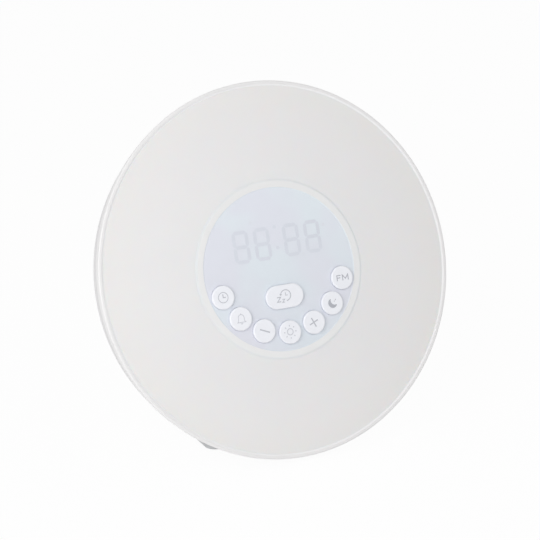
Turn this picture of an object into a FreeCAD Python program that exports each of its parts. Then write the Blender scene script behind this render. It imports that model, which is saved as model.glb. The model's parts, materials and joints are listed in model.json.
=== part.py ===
# Sunrise alarm clock
#
# A disc with a diffusing face leans back on a low stand. Its round display
# holds the digits and eight keys, a ring of lamps shines through the face
# from behind, and the rear shell carries the speaker, the backup cell and
# the power jack.
#
# Every piece is drawn in the frame of the disc: X to the right, Y into the
# depth from the plane of the widest rim, Z up along the face. Its Placement
# leans the disc back about X and lifts it so that the origin lies on the
# ground, under the middle of the whole clock. Lengths are millimetres and
# angles are degrees.

import FreeCAD, Part

import math
import os
import types

import Sketcher
from FreeCAD import Placement, Rotation, Vector

# Driving dimensions
DIMENSIONS = {
    # Lean of the disc and its height over the ground
    "lean_angle": 20.0,
    "ground_gap": 0.8,
    # Rim ring round the face
    "case_radius": 85.0,
    "rim_taper": 1.0,
    "rim_depth": 5.6,
    "rim_roundness": 0.7,
    "rim_skirt": 2.6,
    "lip_width": 1.5,
    "lip_height": 0.55,
    "shelf_depth": 1.9,
    "shelf_width": 4.0,
    "shelf_thickness": 2.0,
    # Diffusing face
    "face_groove": 0.4,
    "face_rise": 2.2,
    "face_edge": 0.1,
    "face_thickness": 1.9,
    # Rear shell
    "shell_gap": 0.3,
    "shell_step": 1.0,
    "shell_draft": 1.4,
    "back_depth": 34.5,
    "back_corner": 22.0,
    "shell_wall": 2.2,
    "tongue_length": 1.7,
    "tongue_thickness": 1.2,
    "tongue_root": 2.1,
    # Case screws from the rear shell into the rim ring
    "case_screw_count": 4,
    "pillar_clearance": 0.8,
    "case_screw_start": 45.0,
    "ring_pillar_radius": 3.3,
    "shell_pillar_radius": 4.6,
    "pillar_joint_depth": 14.0,
    "screw_seat_depth": 18.5,
    "screw_well_radius": 3.2,
    "case_shank_radius": 1.5,
    "case_head_radius": 2.8,
    "case_head_height": 2.0,
    "case_screw_length": 12.5,
    # Display bezel, window and mask
    "display_radius": 36.7,
    "window_fit": 0.15,
    "bezel_width": 3.15,
    "bezel_front": 2.0,
    "bezel_roundness": 0.5,
    "bezel_flange_depth": 2.6,
    "bezel_wall": 2.15,
    "bezel_foot_margin": 0.7,
    "bezel_foot_thickness": 1.6,
    "bezel_screw_count": 4,
    "bezel_screw_clearance": 1.5,
    "window_front": 1.8,
    "window_thickness": 1.6,
    "mask_thickness": 1.4,
    "mask_overlap": 1.0,
    "mask_border": 1.0,
    "ledge_width": 1.8,
    "ledge_thickness": 1.0,
    "ledge_end_angle": 12.0,
    # Round keys on an arc about a centre above the middle of the display
    "key_radius": 5.35,
    "key_edge_gap": 2.75,
    "key_arc_height": 2.9,
    "key_pitch": 23.0,
    "key_raise": 1.4,
    "key_clearance": 0.25,
    "key_roundness": 0.6,
    "key_flange_width": 0.65,
    "key_flange_thickness": 1.0,
    "key_flange_play": 0.1,
    "key_stem_radius": 1.6,
    "key_travel": 0.5,
    # Snooze key
    "snooze_height": -12.4,
    "snooze_width": 18.5,
    "snooze_tall": 10.7,
    # Push switches under the keys
    "switch_size": 6.0,
    "switch_depth": 3.5,
    "plunger_radius": 1.75,
    "plunger_reach": 1.5,
    "plunger_root": 0.6,
    "plunger_clearance": 0.1,
    "plunger_floor": 0.2,
    # Control board inside the bezel
    "board_depth": 10.0,
    "board_thickness": 1.6,
    "board_clearance": 0.35,
    "board_post_radius": 2.3,
    "board_post_inset": 3.65,
    "board_post_length": 6.0,
    "upper_post_angle": 60.0,
    "lower_post_angle": -52.4,
    "board_screw_shank": 1.0,
    "board_screw_head": 1.9,
    "board_screw_head_height": 1.3,
    "board_screw_length": 5.6,
    # Parts on the back of the control board
    "controller_across": -9.0,
    "controller_up": -2.0,
    "controller_width": 12.0,
    "controller_thickness": 1.6,
    "radio_across": 13.0,
    "radio_up": -6.0,
    "radio_width": 7.0,
    "radio_thickness": 1.2,
    "crystal_across": -9.0,
    "crystal_up": -14.0,
    "crystal_length": 8.0,
    "crystal_width": 3.2,
    "crystal_thickness": 2.2,
    "capacitor_radius": 2.5,
    "capacitor_height": 5.5,
    "capacitor_near": 6.0,
    "capacitor_far": 13.0,
    "capacitor_up": 14.0,
    "capacitor_side": 22.0,
    "capacitor_side_up": 6.0,
    # Digit module
    "module_clearance": 3.45,
    "module_tall": 19.0,
    "module_gap": 0.8,
    "digit_height": 14.4,
    "digit_width": 7.3,
    "digit_stroke": 1.5,
    "digit_gap": 0.25,
    "digit_pitch": 10.4,
    "digit_middle": 14.4,
    "digit_across": 1.2,
    "digit_up": 11.95,
    "segment_thickness": 0.3,
    "colon_spread": 4.7,
    # Lamp ring and reflector
    "reflector_depth": 10.9,
    "reflector_thickness": 1.5,
    "reflector_bore_gap": 0.5,
    "reflector_clearance": 0.8,
    "reflector_front": 4.2,
    "reflector_flare": 1.2,
    "reflector_wall": 1.2,
    "lamp_board_gap": 6.0,
    "lamp_board_clearance": 0.8,
    "lamp_board_thickness": 1.6,
    "warm_led_count": 16,
    "warm_led_inset": 2.5,
    "colour_led_count": 12,
    "colour_led_inset": 1.5,
    "led_size": 5.0,
    "led_thickness": 1.4,
    # Posts that carry the reflector
    "frame_post_count": 4,
    "frame_post_inset": 4.5,
    "frame_post_start": 45.0,
    "frame_post_radius": 3.2,
    "frame_shank_radius": 1.25,
    "frame_head_radius": 2.2,
    "frame_head_height": 1.6,
    "frame_screw_length": 11.0,
    # Speaker facing the back
    "speaker_radius": 18.0,
    "speaker_up": 24.0,
    "speaker_flange_width": 2.8,
    "speaker_flange_thickness": 1.4,
    "speaker_basket_depth": 8.7,
    "speaker_basket_taper": 9.0,
    "speaker_sheet": 0.9,
    "magnet_radius": 8.2,
    "magnet_depth": 5.0,
    "surround_width": 2.7,
    "surround_fit": 0.1,
    "cone_neck": 3.9,
    "cone_depth": 5.2,
    "cone_sheet": 0.5,
    "coil_radius": 3.6,
    "coil_wall": 0.7,
    "speaker_post_radius": 2.0,
    "speaker_post_clearance": 0.2,
    "speaker_post_count": 3,
    "speaker_screw_head": 2.6,
    "speaker_screw_head_height": 1.0,
    "speaker_screw_shank": 0.8,
    "speaker_screw_length": 2.6,
    "grille_hole_radius": 0.9,
    "grille_pitch": 4.0,
    "grille_rings": 3,
    # Backup cell under a twist door
    "battery_across": -32.0,
    "battery_up": -18.0,
    "cell_clearance": 1.3,
    "battery_well_wall": 2.5,
    "cell_gap": 0.2,
    "battery_floor": 1.6,
    "cell_radius": 10.0,
    "cell_thickness": 3.2,
    "contact_radius": 6.0,
    "contact_thickness": 0.3,
    "clip_thickness": 0.6,
    "clip_half_width": 3.0,
    "clip_clearance": 0.1,
    "door_clearance": 0.3,
    "door_thickness": 2.8,
    "door_tab_reach": 1.3,
    "door_tab_thickness": 1.2,
    "door_tab_half_width": 2.4,
    "door_turn": 45.0,
    "door_slot_length": 12.0,
    "door_slot_width": 1.6,
    "door_slot_depth": 1.1,
    # Power jack on a small board
    "jack_across": 30.0,
    "jack_up": -24.0,
    "jack_width": 9.0,
    "jack_tall": 10.6,
    "jack_depth": 11.8,
    "jack_nose_radius": 3.9,
    "jack_recess": 0.3,
    "jack_bore_radius": 2.9,
    "jack_bore_depth": 9.5,
    "jack_pin_radius": 0.95,
    "jack_pin_recess": 1.2,
    "jack_hole_clearance": 0.2,
    "power_board_width": 26.0,
    "power_board_tall": 16.0,
    "power_post_spread": 10.0,
    "power_post_radius": 2.2,
    # Grommet for the wire antenna
    "grommet_across": 36.0,
    "grommet_up": 14.0,
    "grommet_radius": 2.5,
    "grommet_flange_radius": 3.6,
    "grommet_flange_thickness": 1.2,
    "grommet_bore_radius": 0.8,
    "grommet_clearance": 0.1,
    # Leads from the control board to the lamps, the speaker and the jack
    "lead_radius": 0.6,
    "lead_spread": 1.6,
    "speaker_lead_up": 4.0,
    "speaker_lead_start": 17.5,
    "speaker_lead_end": 23.5,
    "speaker_tag_width": 5.0,
    "speaker_tag_height": 1.6,
    "speaker_tag_length": 2.0,
    "lamp_lead_clearance": 2.8,
    "lamp_lead_inner": 30.0,
    "lamp_lead_up": 10.0,
    "lamp_lead_height": 3.8,
    "lamp_lead_rise": 4.2,
    "lamp_lead_hole": 2.2,
    "power_lead_across": 26.0,
    "power_lead_up": -24.0,
    "power_lead_shift": 4.2,
    # Vents in the back
    "vent_count": 5,
    "vent_pitch": 4.0,
    "vent_half_length": 7.0,
    "vent_radius": 0.9,
    "vent_up": -33.0,
    # Stand under the back
    "stand_half_width": 35.3,
    "stand_front": 0.0,
    "stand_back": 31.0,
    "stand_toe": 4.5,
    "stand_heel": 4.0,
    "stand_plate": 4.0,
    "stand_plate_rise": 15.6,
    "stand_overlap": 6.0,
    "stand_clearance": 0.1,
    "stand_corner": 5.0,
    "stand_screw_across": 14.0,
    "stand_screw_inset": 7.6,
    "stand_screw_length": 8.0,
    "foot_radius": 4.0,
    "foot_height": 1.2,
    "foot_side_inset": 8.0,
    "foot_inset": 5.5,
}

# Keys along the arc, from the left end to the right one
ARC_KEYS = ("time", "alarm", "minus", "light", "plus", "sleep", "radio")

# Cross recess of a screw, as shares of the radius of its head
RECESS_REACH = 0.62
RECESS_HALF_WIDTH = 0.16
RECESS_DEPTH = 0.55

# Share of the shorter run that each bend of a lead takes
BEND_SHARE = 0.45

# How far a cut starts before the sheet that it goes through, and ends past it
CUT_MARGIN = 1.0

# How far a rib or a tab reaches into what carries it
JOIN_OVERLAP = 1.0


class Size:
    """A length or an angle: its number now and its formula on the sheet."""

    def __init__(self, number, formula):
        self.number = number
        self.formula = formula

    def join(self, sign, other, number):
        return Size(number, "(%s %s %s)" % (self.formula, sign, other.formula))

    def __add__(self, other):
        other = as_size(other)
        return self.join("+", other, self.number + other.number)

    def __sub__(self, other):
        other = as_size(other)
        return self.join("-", other, self.number - other.number)

    def __mul__(self, other):
        other = as_size(other)
        return self.join("*", other, self.number * other.number)

    def __truediv__(self, other):
        other = as_size(other)
        return self.join("/", other, self.number / other.number)

    def __radd__(self, other):
        return as_size(other) + self

    def __rsub__(self, other):
        return as_size(other) - self

    def __rmul__(self, other):
        return as_size(other) * self

    def __neg__(self):
        return as_size(0) - self


def as_size(value):
    """A plain number as a Size, and a Size as it is."""
    if isinstance(value, Size):
        return value
    return Size(float(value), "%.9g" % value if value >= 0 else "(%.9g)" % value)


def cosine(angle):
    angle = as_size(angle)
    return Size(math.cos(math.radians(angle.number)), "cos(%s)" % angle.formula)


def sine(angle):
    angle = as_size(angle)
    return Size(math.sin(math.radians(angle.number)), "sin(%s)" % angle.formula)


def root(value):
    return Size(math.sqrt(value.number), "sqrt(%s)" % value.formula)


def polar(radius, angle, across=0, up=0):
    """A point at a radius and an angle about a centre."""
    return across + radius * cosine(angle), up + radius * sine(angle)


def ring_of(count, radius, start=0, across=0, up=0):
    """Points spread evenly round a circle."""
    total = int(as_size(count).number)
    return [polar(radius, start + 360.0 / total * turn, across, up) for turn in range(total)]


def size_sheet(document):
    """Write the driving dimensions on a sheet and hand them back as sizes."""
    sheet = document.addObject("Spreadsheet::Sheet", "Sizes")
    for row, (name, value) in enumerate(DIMENSIONS.items(), start=1):
        sheet.set("A%d" % row, name)
        sheet.set("B%d" % row, str(value))
        sheet.setAlias("B%d" % row, name)
    document.recompute()
    sizes = {name: Size(float(value), "Sizes.%s" % name) for name, value in DIMENSIONS.items()}
    return types.SimpleNamespace(**sizes)


def bind(feature, path, size):
    """Tie a property of a feature to a size on the sheet."""
    feature.setExpression(path, as_size(size).formula)


class Outline:
    """A sketch on one of its body's planes, drawn loop by loop.

    A corner is (a, b), or (a, b, centre a, centre b, turn) where an arc about
    that centre leads to the next corner, turn 1 anticlockwise or -1 clockwise.
    """

    def __init__(self, body, role, offset=0):
        self.sketch = body.newObject("Sketcher::SketchObject", "Outline")
        plane = [item for item in body.Origin.OriginFeatures if item.Role == role][0]
        self.sketch.AttachmentSupport = [(plane, "")]
        self.sketch.MapMode = "FlatFace"
        bind(self.sketch, "AttachmentOffset.Base.z", offset)
        self.dimensions = []

    def fix(self, kind, size, *target):
        """Note a dimension; it is tied to the sheet when the loop is done."""
        self.dimensions.append((Sketcher.Constraint(kind, *target, size.number), size))

    def fix_point(self, geometry, end, across, up):
        self.fix("DistanceX", as_size(across), -1, 1, geometry, end)
        self.fix("DistanceY", as_size(up), -1, 1, geometry, end)

    def settle(self):
        """Add the dimensions noted so far and tie each to its size."""
        indices = self.sketch.addConstraint([constraint for constraint, _ in self.dimensions])
        for index, (_, size) in zip(indices, self.dimensions):
            bind(self.sketch, "Constraints[%d]" % index, size)
        self.dimensions = []
        return self

    def circle(self, across, up, radius):
        across, up, radius = as_size(across), as_size(up), as_size(radius)
        centre = Vector(across.number, up.number, 0)
        geometry = self.sketch.addGeometry(Part.Circle(centre, Vector(0, 0, 1), radius.number))
        self.fix("Radius", radius, geometry)
        self.fix_point(geometry, 3, across, up)
        return self.settle()

    def circles(self, places, radius):
        for across, up in places:
            self.circle(across, up, radius)
        return self

    def loop(self, *corners):
        ends = []
        for corner, following in zip(corners, corners[1:] + corners[:1]):
            ends.append(self.side(corner, following))
        joints = [Sketcher.Constraint("Coincident", side[0], side[2], following[0], following[1])
                  for side, following in zip(ends, ends[1:] + ends[:1])]
        self.sketch.addConstraint(joints)
        for corner, following, (geometry, start, _) in zip(corners, corners[1:] + corners[:1], ends):
            self.fix_point(geometry, start, corner[0], corner[1])
            if len(corner) > 2:
                self.fix_centre(geometry, corner, following)
        return self.settle()

    def side(self, corner, following):
        """Draw one side and tell which of its ends comes first."""
        start = Vector(as_size(corner[0]).number, as_size(corner[1]).number, 0)
        stop = Vector(as_size(following[0]).number, as_size(following[1]).number, 0)
        if len(corner) == 2:
            return self.sketch.addGeometry(Part.LineSegment(start, stop)), 1, 2
        centre = Vector(as_size(corner[2]).number, as_size(corner[3]).number, 0)
        first, last = (start, stop) if corner[4] > 0 else (stop, start)
        opening = math.atan2(first.y - centre.y, first.x - centre.x)
        closing = math.atan2(last.y - centre.y, last.x - centre.x)
        if closing <= opening:
            closing += 2 * math.pi
        circle = Part.Circle(centre, Vector(0, 0, 1), (first - centre).Length)
        geometry = self.sketch.addGeometry(Part.ArcOfCircle(circle, opening, closing))
        return (geometry, 1, 2) if corner[4] > 0 else (geometry, 2, 1)

    def fix_centre(self, geometry, corner, following):
        """Hold an arc's centre along the axis that its chord crosses."""
        width = abs(as_size(following[0]).number - as_size(corner[0]).number)
        height = abs(as_size(following[1]).number - as_size(corner[1]).number)
        if height >= width:
            self.fix("DistanceX", as_size(corner[2]), -1, 1, geometry, 3)
        else:
            self.fix("DistanceY", as_size(corner[3]), -1, 1, geometry, 3)

    def loops(self, many):
        for corners in many:
            self.loop(*corners)
        return self


def box(across, up, half_width, half_height):
    """Corners of an upright rectangle about a centre."""
    left, right = across - half_width, across + half_width
    low, high = up - half_height, up + half_height
    return (left, low), (right, low), (right, high), (left, high)


def stadium(across, up, half_length, radius):
    """Corners of a rectangle with half-round ends."""
    right, left = across + half_length, across - half_length
    low, high = up - radius, up + radius
    return ((right, low, right, up, 1), (right, high), (left, high, left, up, 1), (left, low))


def bar(angle, inner, outer, half_width, across=0, up=0):
    """Corners of a bar that points away from a centre at an angle."""
    aside_across = half_width * sine(angle)
    aside_up = half_width * cosine(angle)
    near_across, near_up = polar(inner, angle, across, up)
    far_across, far_up = polar(outer, angle, across, up)
    return ((near_across + aside_across, near_up - aside_up),
            (far_across + aside_across, far_up - aside_up),
            (far_across - aside_across, far_up + aside_up),
            (near_across - aside_across, near_up + aside_up))


def started(name):
    """The empty body of one sub-part."""
    body = DOCUMENT.addObject("PartDesign::Body", name)
    body.Label = name
    PIECES.append(body)
    return body


def piece(name):
    """Start the body of one sub-part and seat it in the leaning disc."""
    body = started(name)
    seat(body)
    return body


def seat(body, across=0, up=0):
    """Lean a body back with the disc, at a place on the face."""
    body.Placement = Placement(Vector(0, 0, 0), Rotation(Vector(-1, 0, 0), DIM.lean_angle.number))
    bind(body, "Placement.Rotation.Angle", DIM.lean_angle)
    bind(body, "Placement.Base.x", across)
    bind(body, "Placement.Base.y", middle_shift() + up * sine(DIM.lean_angle))
    bind(body, "Placement.Base.z", disc_height() + up * cosine(DIM.lean_angle))


def facing(body, depth):
    """A sketch that faces the front at a depth behind the rim's plane."""
    return Outline(body, "XZ_Plane", -as_size(depth))


def profile(body):
    """A sketch of half a section: depth along, radius up."""
    return Outline(body, "YZ_Plane")


def pad(body, outline, length):
    """Thicken a facing sketch towards the back."""
    feature = body.newObject("PartDesign::Pad", "Pad")
    feature.Profile = outline.sketch
    feature.Reversed = True
    bind(feature, "Length", length)
    return feature


def pocket(body, outline, length, forward=False):
    """Cut a facing sketch towards the back, or towards the front."""
    feature = body.newObject("PartDesign::Pocket", "Pocket")
    feature.Profile = outline.sketch
    feature.Reversed = forward
    bind(feature, "Length", length)
    return feature


def before(body, front):
    """A sketch just in front of a sheet that is to be cut through."""
    return facing(body, front - CUT_MARGIN)


def cut_through(body, outline, thickness):
    """Cut a sketch made by before() through a sheet of that thickness."""
    pocket(body, outline, thickness + 2 * CUT_MARGIN)


def turned(body, kind, outline):
    feature = body.newObject(kind, "Turned")
    feature.Profile = outline.sketch
    feature.ReferenceAxis = (outline.sketch, ["H_Axis"])
    feature.Angle = 360
    return feature


def revolve(body, *corners):
    """Turn half a section about the depth axis of its body."""
    return turned(body, "PartDesign::Revolution", profile(body).loop(*corners))


def groove(body, *corners):
    """Cut half a section, turned about the depth axis, out of its body."""
    return turned(body, "PartDesign::Groove", profile(body).loop(*corners))


def cylinder(body, radius, front, length):
    """A round plug on the depth axis of its body."""
    return pad(body, facing(body, front).circle(0, 0, radius), length)


def fillet(body, feature, radius, wanted):
    """Round the edges that a test on their ends picks out."""
    DOCUMENT.recompute()
    names = []
    for index, edge in enumerate(feature.Shape.Edges, start=1):
        if wanted(edge):
            names.append("Edge%d" % index)
    rounding = body.newObject("PartDesign::Fillet", "Rounding")
    rounding.Base = (feature, names)
    bind(rounding, "Radius", radius)
    return rounding


def screws(name, places, seat_depth, head, shank, length, looks_back):
    """A set of screws: head is (radius, height), looks_back where it faces the rear."""
    body = piece(name)
    head_radius, head_height = head
    head_front = seat_depth if looks_back else seat_depth - head_height
    shank_front = seat_depth - length if looks_back else as_size(seat_depth)
    pad(body, facing(body, head_front).circles(places, head_radius), head_height)
    pad(body, facing(body, shank_front).circles(places, shank), length)
    mouth = seat_depth + head_height if looks_back else head_front
    reach, half = head_radius * RECESS_REACH, head_radius * RECESS_HALF_WIDTH
    for half_width, half_height in ((reach, half), (half, reach)):
        slots = facing(body, mouth).loops(box(*place, half_width, half_height) for place in places)
        pocket(body, slots, head_height * RECESS_DEPTH, forward=looks_back)
    return body


# Sizes that several pieces share

def shell_drop():
    """How far the lowest point of the leaning shell lies under the disc's centre."""
    centre = corner_depth() * sine(DIM.lean_angle) + back_flat_radius() * cosine(DIM.lean_angle)
    return centre + DIM.back_corner


def disc_height():
    return shell_drop() + DIM.ground_gap


def middle_shift():
    """Moves the disc's centre so that the clock's depth is centred on the origin."""
    tip, rise = cosine(DIM.lean_angle), sine(DIM.lean_angle)
    lip_depth = DIM.rim_roundness - DIM.lip_height
    foremost = lip_depth * tip - (DIM.case_radius - DIM.rim_roundness) * rise - DIM.rim_roundness
    rearmost = corner_depth() * tip + back_flat_radius() * rise + DIM.back_corner
    return -(foremost + rearmost) / 2


def corner_depth():
    return DIM.back_depth - DIM.back_corner


def inner_back():
    return DIM.back_depth - DIM.shell_wall


def rim_back_radius():
    return DIM.case_radius - DIM.rim_taper


def shell_front_radius():
    return rim_back_radius() - DIM.shell_step


def back_flat_radius():
    return shell_front_radius() - DIM.shell_draft - DIM.back_corner


def tongue_outer():
    return rim_back_radius() - DIM.rim_skirt - DIM.shell_gap


def tongue_inner():
    return tongue_outer() - DIM.tongue_thickness


def shell_front():
    return DIM.rim_depth + DIM.shell_gap


def face_radius():
    return DIM.case_radius - DIM.lip_width - DIM.face_groove


def dome_centre(height, half_width, crown):
    """Depth of the centre of an arc that rises by height over a half width."""
    radius = (half_width * half_width + height * height) / (2 * height)
    return crown + radius


def case_screw_radius():
    return tongue_inner() - DIM.pillar_clearance - DIM.ring_pillar_radius


def case_screw_places():
    return ring_of(DIM.case_screw_count, case_screw_radius(), DIM.case_screw_start)


def frame_post_places():
    return ring_of(DIM.frame_post_count, frame_post_circle(), DIM.frame_post_start)


def bezel_bore():
    return DIM.display_radius + DIM.window_fit


def bezel_radius():
    return bezel_bore() + DIM.bezel_width


def bezel_tube():
    return bezel_bore() + DIM.bezel_wall


def bezel_screw_radius():
    return bezel_tube() + DIM.board_screw_head + DIM.bezel_screw_clearance


def bezel_screw_places():
    return ring_of(DIM.bezel_screw_count, bezel_screw_radius())


def bezel_foot_radius():
    return bezel_screw_radius() + DIM.board_screw_head + DIM.bezel_foot_margin


def reflector_back():
    return DIM.reflector_depth + DIM.reflector_thickness


def reflector_radius():
    reach = case_screw_radius() - DIM.ring_pillar_radius - DIM.reflector_clearance
    return reach - DIM.reflector_flare


def lamp_board_outer():
    return reflector_radius() - DIM.reflector_wall - DIM.lamp_board_clearance


def lamp_board_inner():
    return bezel_tube() + DIM.lamp_board_gap


def warm_led_radius():
    return lamp_board_outer() - DIM.led_size / 2 - DIM.warm_led_inset


def colour_led_radius():
    return lamp_board_inner() + DIM.led_size / 2 + DIM.colour_led_inset


def frame_post_circle():
    return colour_led_radius() + DIM.led_size / 2 + DIM.frame_post_inset


def mask_front():
    return DIM.window_thickness - DIM.window_front


def mask_back():
    return mask_front() + DIM.mask_thickness


def board_post_circle():
    return bezel_bore() - DIM.board_post_inset


def board_post_angles():
    return (DIM.upper_post_angle, 180 - DIM.upper_post_angle,
            DIM.lower_post_angle, 180 - DIM.lower_post_angle)


def board_post_places():
    return [polar(board_post_circle(), angle) for angle in board_post_angles()]


def board_back():
    return DIM.board_depth + DIM.board_thickness


def key_arc_radius():
    return DIM.display_radius - DIM.key_edge_gap - DIM.key_radius + DIM.key_arc_height


def key_places():
    """Centres of the round keys on their arc."""
    middle = (len(ARC_KEYS) - 1) / 2
    return [polar(key_arc_radius(), -90 + (index - middle) * DIM.key_pitch, 0, DIM.key_arc_height)
            for index in range(len(ARC_KEYS))]


def snooze_place():
    return as_size(0), DIM.snooze_height


def snooze_radius():
    return DIM.snooze_tall / 2


def snooze_half_length():
    return (DIM.snooze_width - DIM.snooze_tall) / 2


def key_front():
    return -DIM.window_front - DIM.key_raise


def flange_front():
    return mask_back() + DIM.key_flange_play


def flange_back():
    return flange_front() + DIM.key_flange_thickness


def switch_front():
    return DIM.board_depth - DIM.switch_depth


def stem_back():
    return switch_front() - DIM.plunger_reach


def digit_centres():
    near = DIM.digit_middle / 2
    far = near + DIM.digit_pitch
    return [DIM.digit_across + offset for offset in (-far, -near, near, far)]


def module_front():
    return mask_back() + DIM.module_gap


def module_half_width():
    """The module's upper corners keep a clearance to the bore of the bezel."""
    top, bore = DIM.digit_up + DIM.module_tall / 2, bezel_bore()
    return root(bore * bore - top * top) - DIM.digit_across - DIM.module_clearance


def speaker_post_places():
    circle = DIM.speaker_radius + DIM.speaker_post_clearance + DIM.speaker_post_radius
    return ring_of(DIM.speaker_post_count, circle, 90, 0, DIM.speaker_up)


def speaker_seat():
    return inner_back() - DIM.speaker_flange_thickness


def speaker_flange_bore():
    return DIM.speaker_radius - DIM.speaker_flange_width


def basket_radius():
    return DIM.speaker_radius - DIM.speaker_basket_taper


def cone_radius():
    return speaker_flange_bore() - DIM.surround_width - 2 * DIM.surround_fit


def speaker_tag_up():
    """Height of the tag that the leads are soldered to, at the flange's lower edge."""
    return DIM.speaker_up - DIM.speaker_radius + DIM.speaker_tag_height / 2


def tab_front():
    return DIM.back_depth - DIM.door_thickness


def battery_well_radius():
    return DIM.cell_radius + DIM.cell_clearance


def battery_floor_depth():
    return tab_front() - DIM.cell_gap - DIM.cell_thickness - DIM.contact_thickness


def tab_radius():
    return door_radius() + DIM.door_tab_reach


def door_radius():
    return battery_well_radius() - DIM.door_clearance


def jack_front():
    return inner_back() - DIM.jack_depth


def jack_nose_length():
    return DIM.shell_wall - DIM.jack_recess


def power_post_places():
    half = DIM.power_post_spread
    return [(DIM.jack_across - half, DIM.jack_up), (DIM.jack_across + half, DIM.jack_up)]


def stand_screw_places():
    height = DIM.stand_screw_inset - back_flat_radius()
    return [(-DIM.stand_screw_across, height), (DIM.stand_screw_across, height)]


def stand_top():
    """How far the top of the stand lies under the disc's centre."""
    return back_flat_radius() - DIM.stand_plate_rise


def stand_drop():
    """How far the underside of the stand lies under the disc's centre."""
    return disc_height() - DIM.foot_height


def level(depth, height):
    """A point given level with the ground, about the disc's centre, in the leaning frame."""
    tip, rise = cosine(DIM.lean_angle), sine(DIM.lean_angle)
    return depth * tip - height * rise, depth * rise + height * tip


# Case

def rim_ring():
    """Ring with the bright lip round the face, a shelf behind it and four pillars."""
    body = piece("rim_ring")
    lip_front = -DIM.lip_height
    round_depth = DIM.rim_roundness - DIM.lip_height
    round_radius = DIM.case_radius - DIM.rim_roundness
    lip_inner = DIM.case_radius - DIM.lip_width
    skirt_inner = rim_back_radius() - DIM.rim_skirt
    shelf_back = DIM.shelf_depth + DIM.shelf_thickness
    shelf_inner = lip_inner - DIM.shelf_width
    revolve(body,
            (lip_front, lip_inner),
            (lip_front, round_radius, round_depth, round_radius, -1),
            (round_depth, DIM.case_radius),
            (DIM.rim_depth, rim_back_radius()),
            (DIM.rim_depth, skirt_inner),
            (shelf_back, skirt_inner),
            (shelf_back, shelf_inner),
            (DIM.shelf_depth, shelf_inner),
            (DIM.shelf_depth, lip_inner))
    places = case_screw_places()
    ears = facing(body, DIM.shelf_depth)
    for turn in range(len(places)):
        angle = DIM.case_screw_start + 360.0 / len(places) * turn
        ears.loop(*bar(angle, case_screw_radius(), shelf_inner + JOIN_OVERLAP, DIM.ring_pillar_radius))
    pad(body, ears, DIM.shelf_thickness)
    pillars = facing(body, DIM.shelf_depth).circles(places, DIM.ring_pillar_radius)
    pad(body, pillars, DIM.pillar_joint_depth - DIM.shelf_depth)
    tip = DIM.screw_seat_depth - DIM.case_screw_length
    bores = facing(body, tip).circles(places, DIM.case_shank_radius)
    pocket(body, bores, DIM.pillar_joint_depth - tip + CUT_MARGIN)


def face_panel():
    """Slightly domed diffuser with a round hole for the display."""
    body = piece("face_panel")
    rim = face_radius()
    hole = bezel_radius() + DIM.window_fit
    crown = -DIM.face_edge - DIM.face_rise
    centre = dome_centre(DIM.face_rise, rim, crown)
    ball = centre - crown
    hole_front = centre - root(ball * ball - hole * hole)
    edge_front = -DIM.face_edge
    back = DIM.shelf_depth
    revolve(body,
            (hole_front, hole, centre, 0, -1),
            (edge_front, rim),
            (back, rim),
            (back, rim - DIM.shelf_width),
            (hole_front + DIM.face_thickness, hole))


def rear_shell():
    """Deep rear housing with pillars, posts, wells, grille and vents."""
    body = piece("rear_shell")
    front, centre, flat = shell_front(), corner_depth(), back_flat_radius()
    inner_corner = DIM.back_corner - DIM.shell_wall
    revolve(body,
            (front, shell_front_radius()),
            (centre, flat + DIM.back_corner, centre, flat, -1),
            (DIM.back_depth, flat),
            (DIM.back_depth, 0),
            (inner_back(), 0),
            (inner_back(), flat, centre, flat, 1),
            (centre, flat + inner_corner),
            (front + DIM.tongue_root, tongue_inner()),
            (front - DIM.tongue_length, tongue_inner()),
            (front - DIM.tongue_length, tongue_outer()),
            (front, tongue_outer()))
    shell_posts(body)
    trim = DIM.back_depth + DIM.back_corner
    far = DIM.case_radius + DIM.back_corner
    groove(body,
           (centre, flat + DIM.back_corner, centre, flat, -1),
           (DIM.back_depth, flat),
           (trim, flat),
           (trim, far),
           (centre, far))
    shell_screw_holes(body)
    shell_grille(body)
    shell_battery_well(body)
    shell_openings(body)


def shell_posts(body):
    """Everything that stands up from the inside of the shell."""
    wall_middle = DIM.back_depth - DIM.shell_wall / 2
    pillars = facing(body, DIM.pillar_joint_depth).circles(case_screw_places(), DIM.shell_pillar_radius)
    pad(body, pillars, wall_middle - DIM.pillar_joint_depth)
    posts = facing(body, reflector_back()).circles(frame_post_places(), DIM.frame_post_radius)
    pad(body, posts, wall_middle - reflector_back())
    stubs = facing(body, speaker_seat()).circles(speaker_post_places(), DIM.speaker_post_radius)
    pad(body, stubs, wall_middle - speaker_seat())
    cup_front = battery_floor_depth() - DIM.battery_floor
    cup_radius = battery_well_radius() + DIM.door_tab_reach + DIM.battery_well_wall
    cup = facing(body, cup_front).circle(DIM.battery_across, DIM.battery_up, cup_radius)
    pad(body, cup, wall_middle - cup_front)
    power = facing(body, jack_front()).circles(power_post_places(), DIM.power_post_radius)
    pad(body, power, wall_middle - jack_front())


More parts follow.
